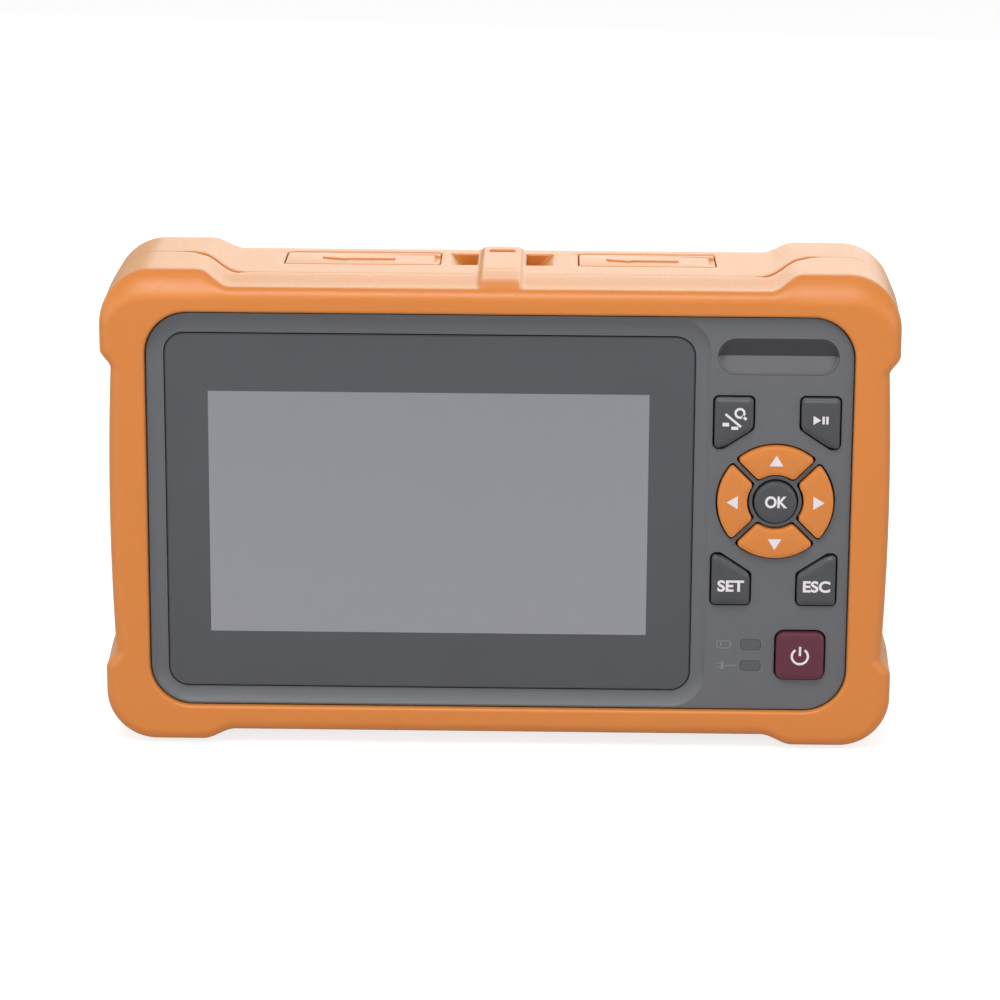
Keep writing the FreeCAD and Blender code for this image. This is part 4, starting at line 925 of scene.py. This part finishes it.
    def back(self) -> list[np.ndarray]:
        """Quarter circle, face and lip of the back, and the inside.

        Returns:
            Its rings, from the side round to the inside of the front lip.
        """
        end = self.back_y - self.back_round
        rings = [self.grown(self.draft - self.back_round * (1 - math.cos(angle)),
                            end + self.back_round * math.sin(angle), math.cos(angle))
                 for angle in np.linspace(0, QUARTER, 11)]
        edge = self.base + self.way * (self.draft - self.back_round)
        rings += self.face(edge, self.back_y, 5)[::-1] + self.lip(self.back_y, -1)[::-1]
        inside = self.back_y - self.lip_depth
        rings.append(self.placed(self.opening, inside))
        return rings + [self.placed(self.core, depth)
                        for depth in np.linspace(inside, self.front_y + self.lip_depth, 4)]

    def seat_cutter(self, span: Span, cover: CoverShape) -> bpy.types.Object:
        """What one port cover needs cut from the skin: a flared seat and a window through it.

        Args:
            span: left and right edge of the seat.
            cover: the covers' common sizes.

        Returns:
            A closed piece.
        """
        # (growth, height above the boot's top) of each ring
        steps = [(0.6, 4.0), (0.28, 0.0), (0.08, -0.12), (0.0, -0.3), (0.0, -cover.thick),
                 (-cover.ledge, -cover.thick), (-cover.ledge, -self.cut_depth)]
        return cutter([rounded_ring(wider(span, grow), wider(cover.depth, grow),
                                    max(cover.corner + grow, 0.6), self.top_z + rise)
                       for grow, rise in steps])

    def mouth_cutter(self, side: int) -> bpy.types.Object:
        """Cutter of one strap mouth: upright beside the bridge, sloping outwards on the other side.

        Args:
            side: -1 for the left mouth and 1 for the right one.

        Returns:
            A closed piece.
        """
        near = self.bridge_x + side * (self.bridge_width / 2 + self.mouth_step)
        slope = self.mouth_high - self.mouth_low
        # (height above the boot's top, width of the mouth, growth) of each ring
        steps = [(-self.cut_depth, self.mouth_low, 0.0), (-3.4, self.mouth_low, 0.0),
                 (-1.6, self.mouth_low + 0.45 * slope, 0.0), (-0.3, self.mouth_low + 0.92 * slope, 0.0),
                 (0.0, self.mouth_high, 0.25), (4.0, self.mouth_high + 1.5, 0.9)]
        rings = []
        for rise, width, grow in steps:
            across = (min(near, near + side * width), max(near, near + side * width))
            rings.append(rounded_ring(wider(across, grow), wider(self.mouth_y, grow), self.mouth_corner,
                                      self.top_z + rise))
        return cutter(rings)

    def slot_cutter(self) -> bpy.types.Object:
        """Cutter of the shallow slot near the back of the bridge.

        Returns:
            A closed piece.
        """
        top = self.top_z + self.bridge_rise
        across = wider((self.bridge_x, self.bridge_x), self.slot_width / 2)
        # (growth, height above the bridge) of each ring
        steps = ((0.3, 2.0), (0.3, 0.0), (0.0, -0.3), (0.0, -0.8))
        return cutter([rounded_ring(wider(across, grow), wider(self.slot_y, grow), self.slot_corner + grow,
                                    top + rise) for grow, rise in steps])

    def build(self, covers: list["PortCover"]) -> bpy.types.Object:
        """Make the boot and cut its holes.

        Args:
            covers: the covers that need seats.

        Returns:
            The piece, riding on the case.
        """
        boot = finish_mesh(skin("boot_skin", np.array(self.front() + self.side() + self.back()), closed=True))
        cutters = [self.seat_cutter(cover.span, cover.shape) for cover in covers]
        cutters += [self.mouth_cutter(side) for side in (-1, 1)] + [self.slot_cutter()]
        cut_away(boot, cutters)
        return settle(finish_mesh(boot, 32), BOOT_RUBBER, "case", "protective_boot")


@dataclass
class PortCover:
    """Rubber cover over a port bay: a soft-edged plate, a hollow plug below and a raised arrow on top."""

    side: str
    top_z: float
    shape: CoverShape = CoverShape()

    def __post_init__(self) -> None:
        """Name the cover's node and body, and read its seat's ends from the frame."""
        self.node = f"{self.side}_port_cover"
        self.body = f"{self.side}_cover"
        low, high = corners(self.node)
        self.span = wider((low[0], high[0]), self.shape.gap)

    def plate_rings(self) -> np.ndarray:
        """Rings of the plate and its plug, from the middle of the plug's ceiling out and over the top.

        Returns:
            Array of shape (rings, points, 3).
        """
        s = self.shape
        plug = s.ledge - s.gap + s.plug_gap
        low = -s.thick
        deep = low - s.plug_depth
        # (inset, height above the boot's top) of each ring
        steps = [(plug + s.plug_wall, low), (plug + s.plug_wall, deep), (plug, deep), (plug, low), (0.0, low)]
        steps += [(s.edge_round * (1 - math.cos(angle)), s.edge_round * (math.sin(angle) - 1))
                  for angle in np.linspace(0, QUARTER, 5)]
        return np.array([rounded_ring(wider(self.span, -s.gap - inset), wider(s.depth, -s.gap - inset),
                                      max(s.corner - s.gap - inset, 0.3), self.top_z + rise)
                         for inset, rise in steps])

    def arrow(self) -> bpy.types.Object:
        """Raised block arrow that points to the hinge, with bevelled edges.

        Returns:
            The piece.
        """
        s = self.shape
        x = sum(self.span) / 2 - s.arrow_shift
        y = sum(s.depth) / 2
        tip, end = x - s.arrow_length / 2, x + s.arrow_length / 2
        (head, wing), half = s.arrow_head, s.arrow_half
        neck = tip + head
        plan = np.array([(tip, y), (neck, y - wing), (neck, y - half), (end, y - half), (end, y + half),
                         (neck, y + half), (neck, y + wing)])
        centre = plan.mean(axis=0)
        rings = [at_height(plan, self.top_z - 0.3), at_height(plan, self.top_z + s.arrow_rise * 0.4),
                 at_height(centre + (plan - centre) * [0.985, 0.9], self.top_z + s.arrow_rise)]
        return skin(self.node + "_arrow", np.array(rings))

    def build(self) -> bpy.types.Object:
        """Make the cover.

        Returns:
            The piece, riding on its hinged body.
        """
        s = self.shape
        plate = skin(self.node + "_skin", self.plate_rings())
        end = self.span[1] - s.gap
        across = wider((sum(s.depth) / 2,) * 2, s.scoop_half)
        scoop = [rounded_ring((end - s.scoop_reach - grow, end + 2.0), wider(across, grow), 0.5,
                              self.top_z + rise) for grow, rise in ((0.5, 1.0), (0.5, 0.0), (0.0, -0.5))]
        cut_away(plate, [cutter(scoop)])
        settle(finish_mesh(plate, 40), BOOT_RUBBER, self.body, self.node)
        settle(finish_mesh(self.arrow(), 25), BOOT_RUBBER, self.body)
        return plate


# ------------------------------------------------------------------ keys
# each arrow key and the angle of its middle line, clockwise from straight up
ARROW_KEYS = (("key_up", 0.0), ("key_right", QUARTER), ("key_down", 2 * QUARTER), ("key_left", -QUARTER))
# each corner key and its side of the arrow ring, across and upwards
CORNER_KEYS = (("key_zoom", -1, 1), ("key_run", 1, 1), ("key_set", -1, -1), ("key_esc", 1, -1))


@dataclass(frozen=True)
class RoundedShape:
    """Plan of a key as the meeting of half-planes and circles, with rounded corners.

    The distance to one side is signed, below zero inside.  Two sides meet in a corner of the given radius:
    past it, the distance is the length of both distances raised by the radius, less the radius.
    """

    centre: Span
    corner: float
    # (normal x, normal z, offset)
    planes: tuple[tuple[float, float, float], ...] = ()
    # (centre x, centre z, radius, 1 for inside it or -1 for outside)
    circles: tuple[tuple[float, float, float, int], ...] = ()
    reach: float = 20.0           # longer than any key from its centre to its outline

    def distance(self, point: np.ndarray) -> np.ndarray:
        """Signed distance to the rounded outline.

        Args:
            point: array of shape (..., 2).

        Returns:
            The distance of each point.
        """
        sides = [point[..., 0] * nx + point[..., 1] * nz - offset for nx, nz, offset in self.planes]
        for cx, cz, radius, sense in self.circles:
            sides.append(sense * (np.hypot(point[..., 0] - cx, point[..., 1] - cz) - radius))
        lifted = np.stack(sides) + self.corner
        outside = np.sqrt((np.clip(lifted, 0, None) ** 2).sum(axis=0))
        return outside + np.minimum(lifted.max(axis=0), 0) - self.corner

    def ring(self, inset: float, count: int = 200) -> np.ndarray:
        """Outline moved inwards by inset, found by halving along rays from the centre.

        Args:
            inset: how far inside the outline; below zero is outside.
            count: points of the ring.

        Returns:
            Array of shape (count, 2).
        """
        angle = np.linspace(0, 2 * math.pi, count, endpoint=False)
        ray = np.column_stack([np.cos(angle), np.sin(angle)])
        near, far = np.zeros(count), np.full(count, self.reach)
        for _ in range(40):
            half_way = (near + far) / 2
            inside = self.distance(np.array(self.centre) + ray * half_way[:, None]) < -inset
            near, far = np.where(inside, half_way, near), np.where(inside, far, half_way)
        return np.array(self.centre) + ray * near[:, None]


class Band(Enum):
    """How the edge of a key cap is formed: (width, drop) of the sloping band round its top."""

    SOFT = (0.55, 0.35)
    BROAD = (0.95, 0.62)


@dataclass
class KeyCap:
    """One key: a wall, a sloping band round its front, a small round at both, and a slightly domed front."""

    node: str
    plan: RoundedShape
    band: Band
    finish: Finish
    slot: str
    wall: float = 4.4             # depth of the wall
    dome: float = 0.12
    flat: float = 0.06            # the front starts this far inside the band

    def build(self) -> bpy.types.Object:
        """Make the cap from rings of its plan, each inset further as it comes forward.

        Returns:
            The piece, riding on the key's body.
        """
        front = corners(self.node)[0][1]
        width, drop = self.band.value
        # (inset, depth behind the front) of each ring
        steps = [(0.0, self.wall), (0.0, drop + 0.18), (0.04, drop + 0.07), (0.12, drop - 0.04)]
        steps += [(width * part, drop * (1 - part) + self.dome) for part in (0.35, 0.6, 0.82)]
        steps += [(width * 0.93, self.dome + 0.06), (width + self.flat, self.dome + 0.015)]
        plans = [self.plan.ring(inset) for inset, _ in steps]
        rings = [at_depth(plan, front + depth) for plan, (_, depth) in zip(plans, steps)]
        centre = np.array(self.plan.centre)
        rings += [at_depth(centre + (plans[-1] - centre) * share, front + self.dome * share ** 2)
                  for share in (0.85, 0.65, 0.45, 0.25, 0.1, 0.0)]
        cap = finish_mesh(skin(self.node + "_cap", np.array(rings)), 60)
        return settle(cap, self.finish, self.node, self.node)


@dataclass
class Keypad:
    """Ten key caps, placed from the frame."""

    ring_outer: float = 12.5
    ring_inner: float = 6.1
    ring_slit: float = 1.6        # between two arrow keys
    arrow_corner: float = 0.8
    arrow_out: float = 0.3        # an arrow key's centre is this far outside the middle of the ring's band
    cut_x: float = 6.6            # the corner keys' slope, across
    cut_z: float = 4.3            # and upwards
    cut_corner: float = 0.9
    cut_shift: float = 0.8        # their centres are moved away from the slope by this, each way
    flange: float = 0.8           # a key's flange stands out past its cap by this
    ok_radius: float = 4.6
    ok_corner: float = 0.5
    power_corner: float = 1.8

    def __post_init__(self) -> None:
        """Find the middle of the arrow ring."""
        self.x, self.z = middle("key_ok")

    def arrow_plan(self, turn: float) -> RoundedShape:
        """Plan of an arrow key: between two circles and two slits at 45 degrees to its middle line.

        Args:
            turn: angle of its middle line, clockwise from straight up.

        Returns:
            The plan.
        """
        planes = []
        for side in (-1, 1):
            angle = turn + side * QUARTER / 2
            nx, nz = side * math.cos(angle), -side * math.sin(angle)
            planes.append((nx, nz, nx * self.x + nz * self.z - self.ring_slit / 2))
        out = (self.ring_outer + self.ring_inner) / 2 + self.arrow_out
        centre = (self.x + out * math.sin(turn), self.z + out * math.cos(turn))
        circles = ((self.x, self.z, self.ring_outer, 1), (self.x, self.z, self.ring_inner, -1))
        return RoundedShape(centre, self.arrow_corner, tuple(planes), circles)

    def cap_box(self, node: str) -> tuple[Span, Span]:
        """Sides of a square cap across and upwards: its node's box less the flange."""
        low, high = corners(node)
        return wider((low[0], high[0]), -self.flange), wider((low[2], high[2]), -self.flange)

    def box_plan(self, node: str, corner: float) -> RoundedShape:
        """Plan of a square key.

        Args:
            node: the key.
            corner: radius of its corners.

        Returns:
            The plan.
        """
        (x0, x1), (z0, z1) = self.cap_box(node)
        planes = ((1, 0, x1), (-1, 0, -x0), (0, 1, z1), (0, -1, -z0))
        return RoundedShape(((x0 + x1) / 2, (z0 + z1) / 2), corner, planes)

    def corner_plan(self, node: str, side_x: int, side_z: int) -> RoundedShape:
        """Plan of a corner key: a rectangle with the corner next to the ring cut off at a slope.

        Args:
            node: the key.
            side_x: -1 left or 1 right of the ring.
            side_z: -1 below or 1 above it.

        Returns:
            The plan.
        """
        square = self.box_plan(node, self.cut_corner)
        near_x, near_z = (ends[0] if side > 0 else ends[1]
                          for ends, side in zip(self.cap_box(node), (side_x, side_z)))
        length = math.hypot(self.cut_x, self.cut_z)
        nx, nz = -side_x * self.cut_z / length, -side_z * self.cut_x / length
        offset = nx * (near_x + side_x * self.cut_x) + nz * near_z
        centre = (square.centre[0] + side_x * self.cut_shift, square.centre[1] + side_z * self.cut_shift)
        return RoundedShape(centre, self.cut_corner, square.planes + ((nx, nz, offset),))

    def build(self) -> list[bpy.types.Object]:
        """Make all the caps.

        Returns:
            The caps.
        """
        keys = [KeyCap(node, self.arrow_plan(turn), Band.SOFT, KEY_ORANGE, "arrow_key_plastic")
                for node, turn in ARROW_KEYS]
        keys += [KeyCap(node, self.corner_plan(node, *sides), Band.BROAD, KEY_DARK, "dark_key_plastic")
                 for node, *sides in CORNER_KEYS]
        round_plan = RoundedShape((self.x, self.z), self.ok_corner,
                                  circles=((self.x, self.z, self.ok_radius, 1),))
        keys.append(KeyCap("key_ok", round_plan, Band.SOFT, KEY_DARK, "dark_key_plastic"))
        keys.append(KeyCap("key_power", self.box_plan("key_power", self.power_corner), Band.SOFT, KEY_MAROON,
                           "power_key_plastic"))
        return [key.build() for key in keys]


# ------------------------------------------------------------------ marks
@dataclass(frozen=True)
class Spot:
    """Where a mark sits: its middle, the body that it rides on and the depth of its front."""

    x: float
    z: float
    body: str
    front: float

    def moved(self, across: float, up: float) -> "Spot":
        """The same spot moved across and upwards."""
        return replace(self, x=self.x + across, z=self.z + up)


@dataclass
class Marks:
    """Printed marks on the keys and beside the lamps: thin flat shapes of ink."""

    keypad: Keypad
    thickness: float = 0.05
    proud: float = 0.03           # the ink stands out of its surface by this
    arrow_size: float = 2.95
    arrow_in: float = 0.1         # the arrows' middles are this far inside the middle of the ring's band
    capital: float = 0.72         # height of the font's capitals, as a share of its size
    bold: float = 0.045           # thickening of the letters, as a share of a capital
    line: float = 0.5             # width of a stroke on the keys
    lamp_gap: float = 2.2         # from the middle of a lamp window to the mark beside it

    def put(self, name: str, outline: np.ndarray, spot: Spot, ink: Finish = INK_WHITE) -> bpy.types.Object:
        """Place one closed outline as a thin plate of ink.

        Args:
            name: name of the piece.
            outline: its points, of shape (count, 2), about its own middle.
            spot: where it goes.
            ink: its finish.

        Returns:
            The piece.
        """
        plan = outline + [spot.x, spot.z]
        rings = np.array([at_depth(plan, y) for y in (spot.front + self.thickness, spot.front)])
        return settle(finish_mesh(skin(name, rings), 20), ink, spot.body)

    def word(self, name: str, text: str, height: float, spot: Spot, stretch: float) -> bpy.types.Object:
        """Set a short functional word as a thin plate of ink.

        Args:
            name: name of the piece.
            text: the word.
            height: height of a capital.
            spot: where its middle goes.
            stretch: how much wider than the plain letters.

        Returns:
            The piece.
        """
        curve = bpy.data.curves.new(name, "FONT")
        curve.body = text
        curve.align_x = "CENTER"
        curve.align_y = "CENTER"
        curve.size = height / self.capital
        curve.offset = self.bold * height
        curve.extrude = self.thickness / 2
        holder = link(name + "_curve", curve)
        depsgraph = bpy.context.evaluated_depsgraph_get()
        mesh = bpy.data.meshes.new_from_object(holder.evaluated_get(depsgraph))
        bpy.data.objects.remove(holder)
        place = Matrix.Translation(Vector((spot.x, spot.front + self.thickness / 2, spot.z)) * MM)
        turn = Matrix.Rotation(QUARTER, 4, "X")
        mesh.transform(place @ turn @ Matrix.Diagonal((stretch * MM, MM, MM, 1.0)))
        return settle(link(name, mesh), INK_WHITE, spot.body)

    def strip(self, points: list[Span], width: float) -> np.ndarray:
        """Outline of a stroke along a line of points, with square ends: the line moved half a width each way.

        Args:
            points: the line.
            width: of the stroke.

        Returns:
            Array of shape (count, 2).
        """
        line = np.array(points, float)
        way = np.gradient(line, axis=0)
        way /= np.linalg.norm(way, axis=1)[:, None]
        side = np.column_stack([-way[:, 1], way[:, 0]]) * width / 2
        return np.concatenate([line + side, (line - side)[::-1]])

    def arc(self, radius: float, start: float, end: float) -> np.ndarray:
        """Outline of part of a ring: an outer arc and an inner one, a stroke's width apart.

        Args:
            radius: of its middle.
            start: its first angle in degrees.
            end: its last angle.

        Returns:
            Array of shape (count, 2).
        """
        angle = np.radians(np.linspace(start, end, 33))
        ray = np.column_stack([np.cos(angle), np.sin(angle)])
        return np.concatenate([ray * (radius + self.line / 2), (ray * (radius - self.line / 2))[::-1]])

    def triangle(self, size: float, turn: float) -> np.ndarray:
        """Outline of a triangle that points up and is then turned.

        Args:
            size: length of its base.
            turn: angle, clockwise.

        Returns:
            Array of shape (3, 2).
        """
        points = np.array([(0, size * 0.46), (-size / 2, -size * 0.36), (size / 2, -size * 0.36)])
        c, s = math.cos(turn), math.sin(turn)
        return points @ np.array([(c, -s), (s, c)])

    def on_key(self, node: str, up: float = 0.0) -> Spot:
        """Middle of a key's front, or a place above it."""
        x, z = middle(node)
        return Spot(x, z + up, node, corners("key_ok")[0][1] - self.proud)

    def beside(self, node: str) -> Spot:
        """Place to the left of a lamp window, on the face of the case."""
        x, z = middle(node)
        return Spot(x - self.lamp_gap, z, "case", corners("front_housing")[0][1] - self.proud)

    def build(self) -> None:
        """Make every mark."""
        pad = self.keypad
        radius = (pad.ring_outer + pad.ring_inner) / 2 - self.arrow_in
        ring = self.on_key("key_ok")
        for node, turn in ARROW_KEYS:
            spot = replace(ring.moved(radius * math.sin(turn), radius * math.cos(turn)), body=node)
            self.put(node + "_mark", self.triangle(self.arrow_size, turn), spot)
        self.word("key_ok_mark", "OK", 2.5, ring, 0.9)
        for node, text in (("key_set", "SET"), ("key_esc", "ESC")):
            self.word(node + "_mark", text, 2.45, self.on_key(node, -1.4), 1.08)
        self.power(self.on_key("key_power"))
        self.run(self.on_key("key_run", 0.9))
        self.zoom(self.on_key("key_zoom", 0.9))
        self.charge(self.beside("upper_lamp_window").moved(-3.6, 0.0))
        self.supply(self.beside("lower_lamp_window"))

    def power(self, spot: Spot) -> None:
        """Ring with a gap and a bar."""
        self.put("key_power_ring", self.arc(1.75, 125, 415), spot)
        self.put("key_power_bar", self.strip([(0, 0.1), (0, 2.2)], self.line), spot)

    def run(self, spot: Spot) -> None:
        """Play triangle and two bars.

        Args:
            spot: middle of the legend.
        """
        self.put("key_run_triangle", self.triangle(2.0, QUARTER), spot.moved(-0.9, 0.0))
        for k, x in enumerate((0.55, 1.35)):
            self.put(f"key_run_bar_{k}", self.strip([(x, -0.85), (x, 0.85)], self.line), spot)

    def zoom(self, spot: Spot) -> None:
        """Magnifier over a sloping trace with a marker at each side.

        Args:
            spot: middle of the legend.
        """
        for k, start in enumerate((0, 180)):
            self.put(f"key_zoom_lens_{k}", self.arc(0.95, start, start + 180), spot.moved(1.2, 1.4))
        strokes = (("handle", [(1.8, 0.8), (2.6, 0.0)], 0.6), ("trace", [(-1.9, 1.2), (1.5, -1.6)], 0.5),
                   ("left", [(-2.5, -1.1), (-1.1, -1.1)], 0.8), ("right", [(-0.6, -1.9), (0.9, -1.9)], 0.7))
        for name, line, width in strokes:
            self.put("key_zoom_" + name, self.strip(line, width), spot)

    def charge(self, spot: Spot) -> None:
        """Faint battery beside the upper lamp.

        Args:
            spot: middle of the legend.
        """
        lines = ([(-1.5, 0.8), (1.3, 0.8)], [(-1.5, -0.8), (1.3, -0.8)], [(-1.5, -0.9), (-1.5, 0.9)],
                 [(1.3, -0.9), (1.3, 0.9)], [(1.7, -0.35), (1.7, 0.35)], [(-0.7, -0.45), (-0.7, 0.45)])
        for k, line in enumerate(lines):
            self.put(f"charge_mark_{k}", self.strip(line, 0.25), spot, INK_GREY)

    def supply(self, spot: Spot) -> None:
        """Faint plug and cord beside the lower lamp.

        Args:
            spot: a millimetre to the right of the legend.
        """
        strokes = (([(-3.6, -0.1), (-1.0, 0.1)], 0.25), ([(-4.0, -0.9), (-4.0, 0.9)], 0.8),
                   ([(-5.0, 0.45), (-4.2, 0.45)], 0.3), ([(-5.0, -0.45), (-4.2, -0.45)], 0.3))
        for k, (line, width) in enumerate(strokes):
            self.put(f"supply_mark_{k}", self.strip(line, width), spot, INK_GREY)


# ------------------------------------------------------------------ studio
@dataclass(frozen=True)
class Studio:
    """Pale floor, white surroundings, soft lamps and the camera."""

    look_at: tuple[float, float, float] = (0.31, -22.5, 56.38)
    distance: float = 798.0
    azimuth: float = 0.94
    elevation: float = 14.94
    roll: float = 0.33
    lens: float = 133.06
    sky: float = 0.3
    mirror_low: float = 1.0       # what glossy rays see near the horizon, where 1 is white
    mirror_high: float = 0.2      # and overhead
    mirror_turn: Span = (0.4, 0.85)   # upward part of a ray's way where that changes
    floor_half: float = 6000.0
    glint: float = 0.2            # share of a lamp's light that its reflection has

    def camera(self) -> None:
        """Place the camera on a line from the point it looks at, turned a little about its own axis."""
        az, el, roll = (math.radians(a) for a in (self.azimuth, self.elevation, self.roll))
        back = Vector((math.sin(az) * math.cos(el), -math.cos(az) * math.cos(el), math.sin(el)))
        level = Vector((math.cos(az), math.sin(az), 0.0))
        up = back.cross(level)
        right = level * math.cos(roll) + up * math.sin(roll)
        top = up * math.cos(roll) - level * math.sin(roll)
        data = bpy.data.cameras.new("camera")
        data.lens = self.lens
        data.sensor_width = 36.0
        data.clip_start = 0.05
        camera = link("camera", data)
        place = (Vector(self.look_at) + back * self.distance) * MM
        camera.matrix_world = Matrix.Translation(place) @ Matrix((right, top, back)).transposed().to_4x4()
        bpy.context.scene.camera = camera

    def world(self) -> None:
        """White surroundings, seen in full; as light they are weak, and in reflections dark overhead."""
        world = bpy.data.worlds.new("surroundings")
        tree = bare_tree(world)
        path = add_node(tree, "LightPath")
        way = add_node(tree, "SeparateXYZ", {0: add_node(tree, "TexCoord").outputs["Generated"]}).outputs["Z"]
        mirror = add_node(tree, "MapRange", {
            "Value": way, "From Min": self.mirror_turn[0], "From Max": self.mirror_turn[1],
            "To Min": self.mirror_low, "To Max": self.mirror_high}).outputs[0]
        strength = add_node(tree, "Mix", {0: path.outputs["Is Glossy Ray"], 2: self.sky, 3: mirror},
                            data_type="FLOAT").outputs[0]
        seen = add_node(tree, "Math", {
            0: path.outputs["Is Camera Ray"], 1: path.outputs["Is Transmission Ray"]},
            operation="MAXIMUM").outputs[0]
        strength = add_node(tree, "Mix", {0: seen, 2: strength, 3: 1.0}, data_type="FLOAT").outputs[0]
        light = add_node(tree, "Background", {"Color": (1.0, 1.0, 1.0, 1.0), "Strength": strength})
        add_node(tree, "OutputWorld", {"Surface": light.outputs[0]})
        bpy.context.scene.world = world

    def floor(self) -> None:
        """Large pale floor that reads white and keeps the object's shadow."""
        corner_points = np.array([(x, y, 0) for x, y in CORNER_SIGNS]) * self.floor_half
        floor = piece_from("floor", corner_points, [(2, 3, 0, 1)])
        material = bpy.data.materials.new("floor_paper")
        tree = bare_tree(material)
        path = add_node(tree, "LightPath")
        paper, dim_paper = (add_node(tree, "BsdfDiffuse", {"Color": (grey, grey, grey, 1.0)}).outputs[0]
                            for grey in (0.7, 0.42))
        glow = add_node(tree, "Emission", {"Strength": 0.8}).outputs[0]
        bright = add_node(tree, "AddShader", {0: dim_paper, 1: glow}).outputs[0]
        mixed = add_node(tree, "MixShader", {
            0: path.outputs["Is Camera Ray"], 1: paper, 2: bright}).outputs[0]
        add_node(tree, "OutputMaterial", {"Surface": mixed})
        paint(floor, material)

    def lamp(self, name: str, place: tuple[float, float, float], size: float, power: float) -> None:
        """Add a square soft lamp that points at the object.

        Args:
            name: name of the lamp.
            place: where it is, in millimetres.
            size: side of the square, in millimetres.
            power: in watts.
        """
        data = bpy.data.lights.new(name, "AREA")
        data.size = size * MM
        data.energy = power
        data.specular_factor = self.glint
        way = Vector(self.look_at) - Vector(place)
        turn = way.to_track_quat("-Z", "Y").to_matrix().to_4x4()
        link(name, data).matrix_world = Matrix.Translation(Vector(place) * MM) @ turn

    def build(self) -> None:
        """Set up everything round the object."""
        bpy.context.scene.view_settings.view_transform = "Standard"
        self.camera()
        self.world()
        self.floor()
        self.lamp("key", (-120, -620, 1200), 700, 11.4)
        self.lamp("back", (150, 900, 500), 800, 3.8)
        for side in (-1, 1):
            self.lamp("side", (side * 800, -600, 250), 700, 2.3)


def main() -> None:
    """Build the object, its finishes and the studio."""
    logging.basicConfig(level=logging.INFO, format="%(name)s: %(message)s")
    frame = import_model()
    Studio().build()
    dress_nodes(frame)
    boot = RubberBoot()
    covers = [PortCover(side, boot.top_z) for side in ("left", "right")]
    LOG.info("boot: %d faces", len(boot.build(covers).data.polygons))
    for cover in covers:
        LOG.info("%s: %d faces", cover.node, len(cover.build().data.polygons))
    keypad = Keypad()
    for cap in keypad.build():
        LOG.info("%s: %d faces", cap.name, len(cap.data.polygons))
    Marks(keypad).build()


if __name__ == "__main__":
    main()
